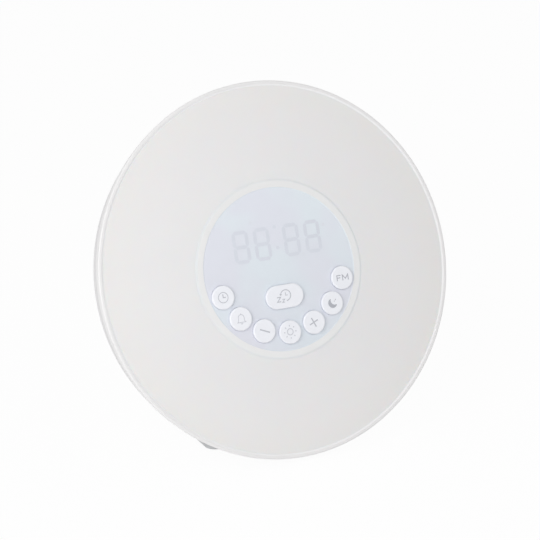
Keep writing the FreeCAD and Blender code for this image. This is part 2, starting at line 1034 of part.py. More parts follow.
def shell_screw_holes(body):
    """Wells for the case screws and pilot bores in the posts."""
    seat_depth, joint = DIM.screw_seat_depth, DIM.pillar_joint_depth
    places = case_screw_places()
    wells = facing(body, seat_depth).circles(places, DIM.screw_well_radius)
    pocket(body, wells, DIM.back_depth + CUT_MARGIN - seat_depth)
    cut_through(body, before(body, joint).circles(places, DIM.case_shank_radius), seat_depth - joint)
    reach = DIM.frame_screw_length - DIM.reflector_thickness - DIM.lamp_board_thickness
    pilot(body, frame_post_places(), DIM.frame_shank_radius, reflector_back(), reach)
    pilot(body, speaker_post_places(), DIM.speaker_screw_shank, speaker_seat(), DIM.speaker_screw_length)
    pilot(body, power_post_places(), DIM.board_screw_shank, jack_front(),
          DIM.board_screw_length - DIM.board_thickness)
    stand_bores = before(body, inner_back()).circles(stand_screw_places(), DIM.frame_shank_radius)
    cut_through(body, stand_bores, DIM.shell_wall)


def pilot(body, places, radius, front, depth):
    """Bores for screws in posts that end at a depth."""
    pocket(body, before(body, front).circles(places, radius), depth + CUT_MARGIN)


def shell_grille(body):
    """Rings of round holes in front of the speaker."""
    holes = before(body, inner_back()).circle(0, DIM.speaker_up, DIM.grille_hole_radius)
    for ring in range(1, int(DIM.grille_rings.number) + 1):
        places = ring_of(6 * ring, DIM.grille_pitch * ring, 0, 0, DIM.speaker_up)
        holes.circles(places, DIM.grille_hole_radius)
    cut_through(body, holes, DIM.shell_wall)


def shell_battery_well(body):
    """Round well with a groove and two entries for the tabs of the twist door."""
    across, up = DIM.battery_across, DIM.battery_up
    beyond = DIM.back_depth + CUT_MARGIN
    well = facing(body, battery_floor_depth()).circle(across, up, battery_well_radius())
    pocket(body, well, beyond - battery_floor_depth())
    groove_radius = tab_radius() + DIM.door_clearance
    groove_front = tab_front() - DIM.door_clearance
    turn = facing(body, groove_front).circle(across, up, groove_radius)
    pocket(body, turn, DIM.door_tab_thickness + 2 * DIM.door_clearance)
    entries = facing(body, groove_front)
    half = DIM.door_tab_half_width + DIM.door_clearance
    for side in (0, 180):
        inner = battery_well_radius() - JOIN_OVERLAP
        entries.loop(*bar(side - DIM.door_turn, inner, groove_radius, half, across, up))
    pocket(body, entries, beyond - groove_front)


def shell_openings(body):
    """Holes for the jack and the antenna, and the vent slots."""
    holes = before(body, inner_back())
    holes.circle(DIM.jack_across, DIM.jack_up, DIM.jack_nose_radius + DIM.jack_hole_clearance)
    holes.circle(DIM.grommet_across, DIM.grommet_up, DIM.grommet_radius + DIM.grommet_clearance)
    for index in range(int(DIM.vent_count.number)):
        height = DIM.vent_up - (index - (DIM.vent_count - 1) / 2) * DIM.vent_pitch
        holes.loop(*stadium(as_size(0), height, DIM.vent_half_length, DIM.vent_radius))
    cut_through(body, holes, DIM.shell_wall)


def case_screws():
    head = (DIM.case_head_radius, DIM.case_head_height)
    screws("case_screws", case_screw_places(), DIM.screw_seat_depth, head,
           DIM.case_shank_radius, DIM.case_screw_length, looks_back=True)


# Display

def display_bezel():
    """Bright ring round the display, with a tube behind it that carries the board."""
    body = piece("display_bezel")
    front = -DIM.bezel_front
    bore = bezel_bore()
    shoulder = bezel_radius() - DIM.bezel_roundness
    flange_end = front + DIM.bezel_flange_depth
    foot_front = reflector_back()
    foot_back = foot_front + DIM.bezel_foot_thickness
    revolve(body,
            (front, bore),
            (front, shoulder, front + DIM.bezel_roundness, shoulder, -1),
            (front + DIM.bezel_roundness, bezel_radius()),
            (flange_end, bezel_radius()),
            (flange_end, bezel_tube()),
            (foot_front, bezel_tube()),
            (foot_front, bezel_foot_radius()),
            (foot_back, bezel_foot_radius()),
            (foot_back, bore))
    bezel_ledge(body)
    bezel_posts(body)
    holes = before(body, foot_front).circles(bezel_screw_places(), DIM.board_screw_shank)
    cut_through(body, holes, DIM.bezel_foot_thickness)


def bezel_ledge(body):
    """Ledge over the upper half of the bore, behind the mask."""
    inner = bezel_bore() - DIM.ledge_width
    outer = bezel_bore() + DIM.bezel_wall / 2
    right = DIM.ledge_end_angle
    left = 180 - right
    ledge = facing(body, mask_back()).loop(
        (*polar(outer, right), as_size(0), as_size(0), 1),
        polar(outer, left),
        (*polar(inner, left), as_size(0), as_size(0), -1),
        polar(inner, right))
    pad(body, ledge, DIM.ledge_thickness)


def bezel_posts(body):
    """Four webbed posts that the control board is screwed to."""
    front = DIM.board_depth - DIM.board_post_length
    webs = facing(body, front)
    for angle in board_post_angles():
        webs.loop(*bar(angle, board_post_circle(), bezel_bore() + DIM.bezel_wall / 2,
                       DIM.board_post_radius / 2))
    pad(body, webs, DIM.board_post_length)
    posts = facing(body, front).circles(board_post_places(), DIM.board_post_radius)
    pad(body, posts, DIM.board_post_length)
    tip = board_back() - DIM.board_screw_length
    pilots = facing(body, tip).circles(board_post_places(), DIM.board_screw_shank)
    pocket(body, pilots, DIM.board_screw_length)


def key_holes(outline):
    """Holes of the keys, with their clearance, on a sheet of the display."""
    outline.circles(key_places(), DIM.key_radius + DIM.key_clearance)
    across, up = snooze_place()
    outline.loop(*stadium(across, up, snooze_half_length(), snooze_radius() + DIM.key_clearance))
    return outline


def display_window():
    """Clear front sheet with the holes for the keys."""
    body = piece("display_window")
    front = -DIM.window_front
    pad(body, facing(body, front).circle(0, 0, DIM.display_radius), DIM.window_thickness)
    cut_through(body, key_holes(before(body, front)), DIM.window_thickness)


def display_mask():
    """Opaque sheet behind the window, cut out for the digits and the keys."""
    body = piece("display_mask")
    front = mask_front()
    pad(body, facing(body, front).circle(0, 0, DIM.display_radius), DIM.mask_thickness)
    sheet = key_holes(before(body, front))
    half_width = module_half_width() - DIM.mask_overlap
    half_height = DIM.digit_height / 2 + DIM.mask_border
    sheet.loop(*box(DIM.digit_across, DIM.digit_up, half_width, half_height))
    cut_through(body, sheet, DIM.mask_thickness)


def round_key(name, across, up):
    """Round key cap with a flange under the mask and a stem to its switch."""
    body = piece(name + "_key")
    front, edge = key_front(), DIM.key_roundness
    flange = DIM.key_radius + DIM.key_clearance + DIM.key_flange_width - DIM.window_fit
    revolve(body,
            (front, 0),
            (front, DIM.key_radius - edge, front + edge, DIM.key_radius - edge, -1),
            (front + edge, DIM.key_radius),
            (flange_front(), DIM.key_radius),
            (flange_front(), flange),
            (flange_back(), flange),
            (flange_back(), DIM.key_stem_radius),
            (stem_back(), DIM.key_stem_radius),
            (stem_back(), 0))
    seat(body, across, up)


def snooze_key():
    """Wide snooze key with rounded ends."""
    body = piece("snooze_key")
    half, radius = snooze_half_length(), snooze_radius()
    middle = as_size(0)
    front = key_front()
    cap = pad(body, facing(body, front).loop(*stadium(middle, middle, half, radius)),
              flange_front() - front)
    front_number = front.number
    fillet(body, cap, DIM.key_roundness,
           lambda edge: all(abs(point.Point.y - front_number) < 1e-6 for point in edge.Vertexes))
    flange = radius + DIM.key_clearance + DIM.key_flange_width - DIM.window_fit
    pad(body, facing(body, flange_front()).loop(*stadium(middle, middle, half, flange)),
        DIM.key_flange_thickness)
    cylinder(body, DIM.key_stem_radius, flange_back(), stem_back() - flange_back())
    seat(body, *snooze_place())


def plunger(name, across, up):
    """Plunger of the switch under one key."""
    body = piece(name + "_plunger")
    cylinder(body, DIM.plunger_radius, stem_back(), DIM.plunger_reach + DIM.plunger_root)
    seat(body, across, up)


def key_switches():
    """Bodies of the eight push switches, each with the bore of its plunger."""
    body = piece("key_switches")
    places = key_places() + [snooze_place()]
    half = DIM.switch_size / 2
    cases = facing(body, switch_front()).loops(box(*place, half, half) for place in places)
    pad(body, cases, DIM.switch_depth)
    bore = DIM.plunger_radius + DIM.plunger_clearance
    depth = DIM.plunger_root + DIM.key_travel + DIM.plunger_floor
    pocket(body, facing(body, switch_front()).circles(places, bore), depth)


def control_board():
    """Round circuit board on the four posts of the bezel."""
    body = piece("control_board")
    radius = bezel_bore() - DIM.board_clearance
    pad(body, facing(body, DIM.board_depth).circle(0, 0, radius), DIM.board_thickness)
    holes = before(body, DIM.board_depth).circles(board_post_places(), DIM.board_screw_shank)
    cut_through(body, holes, DIM.board_thickness)


def board_screws():
    head = (DIM.board_screw_head, DIM.board_screw_head_height)
    screws("board_screws", board_post_places(), board_back(), head,
           DIM.board_screw_shank, DIM.board_screw_length, looks_back=True)


def digit_module():
    """Block of the digit module between the mask and the board."""
    body = piece("digit_module")
    block = facing(body, module_front())
    block.loop(*box(DIM.digit_across, DIM.digit_up, module_half_width(), DIM.module_tall / 2))
    pad(body, block, DIM.board_depth - module_front())


def segment(across, up, half_length, upright):
    """Corners of one pointed bar of a digit."""
    half = DIM.digit_stroke / 2
    along = half_length - DIM.digit_gap
    ways = ((-along, 0), (half - along, half), (along - half, half),
            (along, 0), (along - half, -half), (half - along, -half))
    if upright:
        return tuple((across + aside, up + forth) for forth, aside in ways)
    return tuple((across + forth, up + aside) for forth, aside in ways)


def digit_segments():
    """The lamps' windows on the module: four digits of seven bars and a colon."""
    body = piece("digit_segments")
    front = module_front() - DIM.segment_thickness
    half_width = (DIM.digit_width - DIM.digit_stroke) / 2
    storey = (DIM.digit_height - DIM.digit_stroke) / 2
    for across in digit_centres():
        level_bars = [segment(across, DIM.digit_up + height, half_width, False)
                      for height in (-storey, as_size(0), storey)]
        upright_bars = [segment(across + side, DIM.digit_up + height, storey / 2, True)
                        for side in (-half_width, half_width)
                        for height in (-storey / 2, storey / 2)]
        for bars in (level_bars, upright_bars):
            pad(body, facing(body, front).loops(bars), DIM.segment_thickness)
    dots = [(DIM.digit_across, DIM.digit_up + DIM.colon_spread),
            (DIM.digit_across, DIM.digit_up - DIM.colon_spread)]
    pad(body, facing(body, front).circles(dots, DIM.digit_stroke / 2), DIM.segment_thickness)


# Parts on the back of the control board

def chip(name, across, up, half_width, half_height, thickness, depth):
    """A flat rectangular component lying on a board."""
    body = piece(name)
    pad(body, facing(body, depth).loop(*box(across, up, half_width, half_height)), thickness)
    return body


def tube(points, radius):
    """A round wire along straight runs joined by tangent arcs."""
    edges, start = [], points[0]
    for before, corner, after in zip(points, points[1:], points[2:]):
        arrive, leave = (corner - before), (after - corner)
        reach = BEND_SHARE * min(arrive.Length, leave.Length)
        half_turn = arrive.getAngle(leave) / 2
        arrive.normalize()
        leave.normalize()
        bend = reach / math.tan(half_turn)
        inward = (leave - arrive).normalize()
        enter, quit_point = corner - arrive * reach, corner + leave * reach
        middle = corner + inward * (bend / math.cos(half_turn) - bend)
        edges.append(Part.LineSegment(start, enter).toShape())
        edges.append(Part.Arc(enter, middle, quit_point).toShape())
        start = quit_point
    edges.append(Part.LineSegment(start, points[-1]).toShape())
    path = Part.Wire(edges)
    section = Part.Wire([Part.Circle(points[0], points[1] - points[0], radius).toShape()])
    solid = path.makePipeShell([section], True, False)
    expected = math.pi * radius * radius * path.Length
    if abs(solid.Volume / expected - 1) > 0.01:
        raise RuntimeError("a lead's volume is not its section times its length")
    return solid


def lead(name, route, aside):
    """Two wires side by side: route is (across, depth, up), aside the way they lie apart."""
    wires = []
    for side in (-0.5, 0.5):
        shift = Vector(*aside) * (side * DIM.lead_spread.number)
        points = [Vector(*(as_size(value).number for value in point)) + shift for point in route]
        wires.append(tube(points, DIM.lead_radius.number))
    feature = DOCUMENT.addObject("Part::Feature", name)
    feature.Shape = Part.Compound(wires)
    feature.Label = name
    seat(feature)
    PIECES.append(feature)


def speaker_leads():
    """From the control board back to the tag on the speaker's flange."""
    tag_up = speaker_tag_up()
    tag_front = speaker_seat() - DIM.speaker_tag_length
    up, start, end = DIM.speaker_lead_up, DIM.speaker_lead_start, DIM.speaker_lead_end
    lead("speaker_leads",
         [(0, board_back(), up), (0, start, up), (0, end, tag_up), (0, tag_front, tag_up)],
         aside=(1, 0, 0))


def lamp_lead_outer():
    return bezel_foot_radius() + DIM.lamp_lead_hole + DIM.lamp_lead_clearance


def lamp_leads():
    """From the control board over the bezel's foot to the lamp board."""
    up, rise = DIM.lamp_lead_up, DIM.lamp_lead_rise
    bow = reflector_back() + DIM.bezel_foot_thickness + DIM.lamp_lead_height
    inner, outer = -DIM.lamp_lead_inner, -lamp_lead_outer()
    lead("lamp_leads",
         [(inner, board_back(), up), (inner, bow - rise / 2, up), (inner - rise, bow, up),
          (outer + rise, bow, up), (outer, bow - rise / 2, up), (outer, DIM.reflector_depth, up)],
         aside=(0, 0, 1))


def power_leads():
    """From the power board forward to the control board."""
    across, up, shift = DIM.power_lead_across, DIM.power_lead_up, DIM.power_lead_shift
    board_front = jack_front() - DIM.board_thickness
    middle = (board_front + board_back()) / 2
    lead("power_leads",
         [(across, board_front, up), (across, middle, up),
          (across - shift, middle, up + shift), (across - shift, board_back(), up + shift)],
         aside=(math.sqrt(0.5), 0, math.sqrt(0.5)))


def board_components():
    """Chips, crystal and capacitors on the back of the control board."""
    back = board_back()
    half = DIM.controller_width / 2
    chip("controller_chip", DIM.controller_across, DIM.controller_up, half, half,
         DIM.controller_thickness, back)
    half = DIM.radio_width / 2
    chip("radio_chip", DIM.radio_across, DIM.radio_up, half, half, DIM.radio_thickness, back)
    chip("clock_crystal", DIM.crystal_across, DIM.crystal_up, DIM.crystal_length / 2,
         DIM.crystal_width / 2, DIM.crystal_thickness, back)
    capacitors = piece("board_capacitors")
    places = [(DIM.capacitor_near, DIM.capacitor_up), (DIM.capacitor_far, DIM.capacitor_up),
              (DIM.capacitor_side, DIM.capacitor_side_up), (-DIM.capacitor_side, DIM.capacitor_side_up)]
    pad(capacitors, facing(capacitors, back).circles(places, DIM.capacitor_radius), DIM.capacitor_height)


# Lamp

def light_reflector():
    """White dish behind the lamps, carried by the posts of the rear shell."""
    body = piece("light_reflector")
    front, back = DIM.reflector_depth, reflector_back()
    bore = bezel_tube() + DIM.reflector_bore_gap
    rim = reflector_radius()
    flare = rim + DIM.reflector_flare
    revolve(body,
            (front, bore),
            (back, bore),
            (back, rim),
            (DIM.reflector_front, flare),
            (DIM.reflector_front, flare - DIM.reflector_wall),
            (front, rim - DIM.reflector_wall))
    holes = before(body, front).circles(frame_post_places(), DIM.frame_shank_radius)
    holes.circles(bezel_screw_places(), DIM.board_screw_shank)
    holes.circle(-lamp_lead_outer(), DIM.lamp_lead_up, DIM.lamp_lead_hole)
    cut_through(body, holes, DIM.reflector_thickness)


def lamp_board():
    """Ring-shaped board of the lamps on the reflector."""
    body = piece("lamp_board")
    front = lamp_board_front()
    sheet = facing(body, front).circle(0, 0, lamp_board_outer()).circle(0, 0, lamp_board_inner())
    pad(body, sheet, DIM.lamp_board_thickness)
    holes = before(body, front).circles(frame_post_places(), DIM.frame_shank_radius)
    cut_through(body, holes, DIM.lamp_board_thickness)


def lamp_board_front():
    return DIM.reflector_depth - DIM.lamp_board_thickness


def led_ring(name, count, radius):
    """Square lamps spread round the lamp board, with the frame screws between them."""
    body = piece(name)
    half = DIM.led_size / 2
    start = facing(body, lamp_board_front() - DIM.led_thickness)
    half_pitch = as_size(180) / count
    start.loop(*bar(DIM.frame_post_start + half_pitch, radius - half, radius + half, half))
    first = pad(body, start, DIM.led_thickness)
    pattern = body.newObject("PartDesign::PolarPattern", "Ring")
    pattern.Originals = [first]
    pattern.Axis = (start.sketch, ["N_Axis"])
    pattern.Angle = 360
    bind(pattern, "Occurrences", count)
    body.Tip = pattern


def frame_screws():
    head = (DIM.frame_head_radius, DIM.frame_head_height)
    screws("frame_screws", frame_post_places(), lamp_board_front(), head,
           DIM.frame_shank_radius, DIM.frame_screw_length, looks_back=False)


def bezel_screws():
    head = (DIM.board_screw_head, DIM.board_screw_head_height)
    foot_back = reflector_back() + DIM.bezel_foot_thickness
    length = DIM.bezel_foot_thickness + DIM.reflector_thickness
    screws("bezel_screws", bezel_screw_places(), foot_back, head,
           DIM.board_screw_shank, length, looks_back=True)


# Speaker, turned about its own axis

def at_speaker(name):
    body = piece(name)
    seat(body, 0, DIM.speaker_up)
    return body


def speaker():
    """Frame, magnet, cone, voice coil and surround, about the speaker's axis."""
    rest, sheet = speaker_seat(), DIM.speaker_sheet
    basket = rest - DIM.speaker_basket_depth
    flange_inner = speaker_flange_bore()
    hub = DIM.cone_neck + DIM.coil_wall
    frame = at_speaker("speaker_frame")
    revolve(frame,
            (inner_back(), DIM.speaker_radius),
            (inner_back(), flange_inner),
            (rest, flange_inner),
            (basket + sheet, basket_radius() - sheet),
            (basket + sheet, hub),
            (basket, hub),
            (basket, basket_radius()),
            (rest, flange_inner + sheet),
            (rest, DIM.speaker_radius))
    tag = facing(frame, rest - DIM.speaker_tag_length)
    tag.loop(*box(as_size(0), speaker_tag_up() - DIM.speaker_up,
                  DIM.speaker_tag_width / 2, DIM.speaker_tag_height / 2))
    pad(frame, tag, DIM.speaker_tag_length)
    magnet = at_speaker("speaker_magnet")
    cylinder(magnet, DIM.magnet_radius, basket - DIM.magnet_depth, DIM.magnet_depth)
    cone_back = inner_back() - sheet
    cone_front = cone_back - DIM.cone_depth
    cone = at_speaker("speaker_cone")
    revolve(cone,
            (cone_back, cone_radius()),
            (cone_front, DIM.cone_neck),
            (cone_front, 0),
            (cone_front - DIM.cone_sheet, 0),
            (cone_front - DIM.cone_sheet, DIM.cone_neck),
            (cone_back - DIM.cone_sheet, cone_radius()))
    coil = at_speaker("voice_coil")
    bobbin = facing(coil, basket).circle(0, 0, DIM.coil_radius)
    bobbin.circle(0, 0, DIM.coil_radius - DIM.coil_wall)
    pad(coil, bobbin, cone_front - DIM.cone_sheet - basket)
    speaker_surround(cone_back, flange_inner - DIM.surround_fit)


def speaker_surround(back, outer):
    """Half-round roll of rubber between the cone and the frame."""
    roll = at_speaker("speaker_surround")
    inner = cone_radius() + DIM.surround_fit
    middle = (inner + outer) / 2
    revolve(roll,
            (back, outer, back, middle, 1),
            (back, inner),
            (back, inner + DIM.cone_sheet, back, middle, -1),
            (back, outer - DIM.cone_sheet))


def speaker_screws():
    screws("speaker_screws", speaker_post_places(), speaker_seat(),
           (DIM.speaker_screw_head, DIM.speaker_screw_head_height), DIM.speaker_screw_shank,
           DIM.speaker_screw_length, looks_back=False)


# Backup cell, about the axis of its well

def at_well(name):
    body = piece(name)
    seat(body, DIM.battery_across, DIM.battery_up)
    return body


def backup_cell():
    floor_depth = battery_floor_depth()
    contact = at_well("battery_contact")
    cylinder(contact, DIM.contact_radius, floor_depth, DIM.contact_thickness)
    cell = at_well("coin_cell")
    cylinder(cell, DIM.cell_radius, floor_depth + DIM.contact_thickness, DIM.cell_thickness)
    clip = at_well("battery_clip")
    well, half = battery_well_radius(), DIM.clip_half_width
    outer = root(well * well - half * half) - DIM.clip_clearance
    strip = facing(clip, floor_depth)
    strip.loop(*bar(180, outer - DIM.clip_thickness, outer, half))
    pad(clip, strip, DIM.cell_thickness - DIM.contact_thickness)


def battery_door():
    """Round door with two tabs, turned by a coin slot."""
    body = at_well("battery_door")
    cylinder(body, door_radius(), tab_front(), DIM.door_thickness)
    tabs = facing(body, tab_front())
    for side in (0, 180):
        tabs.loop(*bar(side, door_radius() - 2 * JOIN_OVERLAP, tab_radius(), DIM.door_tab_half_width))
    pad(body, tabs, DIM.door_tab_thickness)
    middle = as_size(0)
    slot = facing(body, DIM.back_depth)
    slot.loop(*box(middle, middle, DIM.door_slot_length / 2, DIM.door_slot_width / 2))
    pocket(body, slot, DIM.door_slot_depth, forward=True)


# Power jack

def power_jack():
    """Barrel jack whose nose fills the round hole of the back."""
    body = piece("power_jack")
    across, up = DIM.jack_across, DIM.jack_up
    case = facing(body, jack_front())
    pad(body, case.loop(*box(across, up, DIM.jack_width / 2, DIM.jack_tall / 2)), DIM.jack_depth)
    nose = facing(body, inner_back()).circle(across, up, DIM.jack_nose_radius)
    pad(body, nose, jack_nose_length())
    mouth = inner_back() + jack_nose_length()
    bore = facing(body, mouth).circle(across, up, DIM.jack_bore_radius)
    pocket(body, bore, DIM.jack_bore_depth, forward=True)
    pin = piece("jack_pin")
    pin_length = DIM.jack_bore_depth - DIM.jack_pin_recess
    stub = facing(pin, mouth - DIM.jack_bore_depth).circle(across, up, DIM.jack_pin_radius)
    pad(pin, stub, pin_length)


def power_board():
    """Small board that carries the jack, on two posts of the rear shell."""
    thickness = DIM.board_thickness
    front = jack_front() - thickness
    body = chip("power_board", DIM.jack_across, DIM.jack_up, DIM.power_board_width / 2,
                DIM.power_board_tall / 2, thickness, front)
    holes = before(body, front).circles(power_post_places(), DIM.board_screw_shank)
    cut_through(body, holes, thickness)
    head = (DIM.board_screw_head, DIM.board_screw_head_height)
    screws("power_screws", power_post_places(), front, head,
           DIM.board_screw_shank, DIM.board_screw_length, looks_back=False)


def antenna_grommet():
    """Soft bush in the back where the wire antenna leaves."""
    body = piece("antenna_grommet")
    collar_front = inner_back() - DIM.grommet_flange_thickness
    flange_end = DIM.back_depth + DIM.grommet_flange_thickness
    revolve(body,
            (collar_front, DIM.grommet_bore_radius),
            (collar_front, DIM.grommet_flange_radius),
            (inner_back(), DIM.grommet_flange_radius),
            (inner_back(), DIM.grommet_radius),
            (DIM.back_depth, DIM.grommet_radius),
            (DIM.back_depth, DIM.grommet_flange_radius),
            (flange_end, DIM.grommet_flange_radius),
            (flange_end, DIM.grommet_bore_radius))
    seat(body, DIM.grommet_across, DIM.grommet_up)


# Stand

def stand():
    """Saddle under the back, with its underside level and its top cut to the shell."""
    body = piece("stand")
    drop = stand_drop()
    side = profile(body)
    side.loop(level(DIM.stand_front, -drop),
              level(DIM.stand_back, -drop),
              level(DIM.stand_back, DIM.stand_heel - drop),
              (DIM.back_depth + DIM.stand_plate, -stand_top()),
              (DIM.back_depth - DIM.stand_overlap, -stand_top()),
              level(DIM.stand_front, DIM.stand_toe - drop))
    block = body.newObject("PartDesign::Pad", "Pad")
    block.Profile = side.sketch
    block.Midplane = True
    bind(block, "Length", 2 * DIM.stand_half_width)
    fillet(body, block, DIM.stand_corner, stand_corner_edge)
    clear = DIM.stand_clearance
    groove(body,
           (0, 0),
           (0, shell_front_radius() + clear),
           (corner_depth(), back_flat_radius() + DIM.back_corner + clear,
            corner_depth(), back_flat_radius(), -1),
           (DIM.back_depth + clear, back_flat_radius()),
           (DIM.back_depth + clear, 0))
    pilot(body, stand_screw_places(), DIM.frame_shank_radius, DIM.back_depth,
          DIM.stand_screw_length - DIM.shell_wall)


def stand_corner_edge(edge):
    """Tells the edges that climb the four corners of the stand."""
    lean = math.radians(DIM.lean_angle.number)
    ends = [vertex.Point for vertex in edge.Vertexes]
    depths = [end.y * math.cos(lean) + end.z * math.sin(lean) for end in ends]
    heights = [end.z * math.cos(lean) - end.y * math.sin(lean) for end in ends]
    climbs = abs(heights[0] - heights[1]) > 1e-6
    on_side = abs(ends[0].x - ends[1].x) < 1e-6
    at_front = all(abs(depth - DIM.stand_front.number) < 1e-6 for depth in depths)
    at_back = any(abs(depth - DIM.stand_back.number) < 1e-6 for depth in depths)
    return on_side and climbs and (at_front or at_back)


def stand_screws():
    head = (DIM.frame_head_radius, DIM.frame_head_height)
    screws("stand_screws", stand_screw_places(), inner_back(), head,
           DIM.frame_shank_radius, DIM.stand_screw_length, looks_back=False)


def stand_feet():
    """Four rubber pads under the stand, level with the ground."""
    body = started("stand_feet")
    bind(body, "Placement.Base.y", middle_shift())
    pads = Outline(body, "XY_Plane")
    rows = (DIM.stand_front + DIM.foot_inset, DIM.stand_back - DIM.foot_inset)
    reach = DIM.stand_half_width - DIM.foot_side_inset
    for across in (-reach, reach):
        pads.circles([(across, row) for row in rows], DIM.foot_radius)
    feature = body.newObject("PartDesign::Pad", "Pad")
    feature.Profile = pads.sketch
    bind(feature, "Length", DIM.foot_height)


def build():
    """Make every sub-part, front to back."""
    face_panel()
    rim_ring()
    display_window()
    display_mask()
    display_bezel()
    for name, (across, up) in zip(ARC_KEYS, key_places()):
        round_key(name, across, up)
        plunger(name, across, up)
    snooze_key()
    plunger("snooze", *snooze_place())
    key_switches()
    digit_module()
    digit_segments()
    control_board()
    board_screws()
    board_components()
    speaker_leads()
    lamp_leads()
    power_leads()
    light_reflector()
    lamp_board()
    led_ring("warm_leds", DIM.warm_led_count, warm_led_radius())
    led_ring("colour_leds", DIM.colour_led_count, colour_led_radius())
    frame_screws()
    bezel_screws()
    rear_shell()
    case_screws()
    speaker()
    speaker_screws()
    backup_cell()
    battery_door()
    power_jack()
    power_board()
    antenna_grommet()
    stand()
    stand_screws()
    stand_feet()


def check():
    """Refuse a document with a failed object or a sub-part without a valid shape."""
    for item in DOCUMENT.Objects:
        if "Invalid" in item.State or "Error" in item.State:
            raise RuntimeError("%s failed: %s" % (item.Label, item.State))
    for body in PIECES:
        if body.Shape.isNull() or not body.Shape.isValid() or not body.Shape.Solids:
            raise RuntimeError("%s has no valid solid" % body.Label)


def export():
    os.makedirs("parts", exist_ok=True)
    for body in PIECES:
        body.Shape.exportStep("parts/%s.step" % body.Label)
        print("%-18s %2d solids %10.1f mm3" % (body.Label, len(body.Shape.Solids), body.Shape.Volume))


DOCUMENT = FreeCAD.newDocument("SunriseClock")
DIM = size_sheet(DOCUMENT)
PIECES = []

build()
DOCUMENT.recompute()
check()
export()
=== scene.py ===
# %% [markdown]
# # A sunrise alarm clock, dressed for its picture
#
# The clock is a white disc that leans back on a low stand. Its solids come
# ready made and in place, in metres. This lesson adds what makes them look
# real: the finish of each plastic and metal, the marks on the keys, the unlit
# digits behind the display, the seals in the joints of the front, and the
# small mouldings of the back. At the end it sets up a plain studio and a
# camera.
#
# The first lines load the solids.

import json
import math

import bmesh
import bpy
from mathutils import Matrix, Quaternion, Vector


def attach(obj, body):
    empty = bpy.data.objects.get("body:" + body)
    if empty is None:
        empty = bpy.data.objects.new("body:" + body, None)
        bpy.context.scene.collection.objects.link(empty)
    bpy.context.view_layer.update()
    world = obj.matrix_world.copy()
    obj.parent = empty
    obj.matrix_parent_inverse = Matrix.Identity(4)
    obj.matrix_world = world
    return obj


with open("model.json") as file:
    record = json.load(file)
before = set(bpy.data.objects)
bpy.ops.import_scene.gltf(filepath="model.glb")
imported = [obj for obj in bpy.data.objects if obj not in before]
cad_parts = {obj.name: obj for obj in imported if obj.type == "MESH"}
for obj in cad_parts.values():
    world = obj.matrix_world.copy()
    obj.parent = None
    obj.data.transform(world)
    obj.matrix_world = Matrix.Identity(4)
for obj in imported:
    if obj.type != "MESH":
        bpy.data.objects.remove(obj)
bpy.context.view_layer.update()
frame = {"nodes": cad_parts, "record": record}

# %% [markdown]
# ## A place to draw in
#
# The disc leans back by 20 degrees, so drawing on it in world coordinates
# would be awkward. A matrix solves that: it takes a point in millimetres, as
# across, up the face and out towards the viewer, and gives its place in the
# world in metres. Every new piece is drawn with it, and the materials use the
# same three directions for patterns that follow the face. A second matrix
# does the same for the flat of the back, seen by someone who stands behind.

# %% The frame of the disc
MILLIMETRE = 0.001
LEAN = math.radians(20)
MIDDLE = Vector((0, -12.3696, 83.0809)) * MILLIMETRE
BACK_DEPTH = 34.5

ACROSS = Vector((1, 0, 0))
UP_FACE = Vector((0, math.sin(LEAN), math.cos(LEAN)))
OUTWARD = Vector((0, -math.cos(LEAN), math.sin(LEAN)))

turn = Matrix((ACROSS, UP_FACE, OUTWARD)).transposed().to_4x4()
ON_DISC = Matrix.Translation(MIDDLE) @ turn @ Matrix.Scale(MILLIMETRE, 4)
ON_BACK = ON_DISC @ Matrix.Translation((0, 0, -BACK_DEPTH)) @ Matrix.Rotation(math.pi, 4, "Y")
print("a point 80 mm up the face:", [round(value, 4) for value in ON_DISC @ Vector((0, 80, 0))])

# %% [markdown]
# ## Shader maths as plain sums
#
# Materials are made of nodes, and a sum of two sockets takes a Math node with
# two links. A small class hides that: it wraps a socket, and its operators
# add the nodes, so a pattern reads like a formula. Every other node comes from
# one method, which sets the node's own settings first and then its sockets.

# %% A number that varies over a surface
class Number:
    """A socket that sums, differences and products can be written with."""

    def __init__(self, finish, socket):
        self.finish = finish
        self.socket = socket

    def work(self, operation, *values):
        node = self.finish.node("ShaderNodeMath", {"operation": operation}, dict(enumerate(values)))
        return Number(self.finish, node.outputs[0])

    def __add__(self, other):
        return self.work("ADD", self, other)

    __radd__ = __add__

    def __sub__(self, other):
        return self.work("SUBTRACT", self, other)

    def __mul__(self, other):
        return self.work("MULTIPLY", self, other)

    def to(self, power):
        return self.work("POWER", self, power)

    def larger(self, other):
        return self.work("MAXIMUM", self, other)

    def between(self, low, high):
        """0 at low, 1 at high and a soft step from one to the other."""
        settings = {"interpolation_type": "SMOOTHSTEP"}
        values = {"Value": self, "From Min": low, "From Max": high}
        return Number(self.finish, self.finish.node("ShaderNodeMapRange", settings, values).outputs[0])


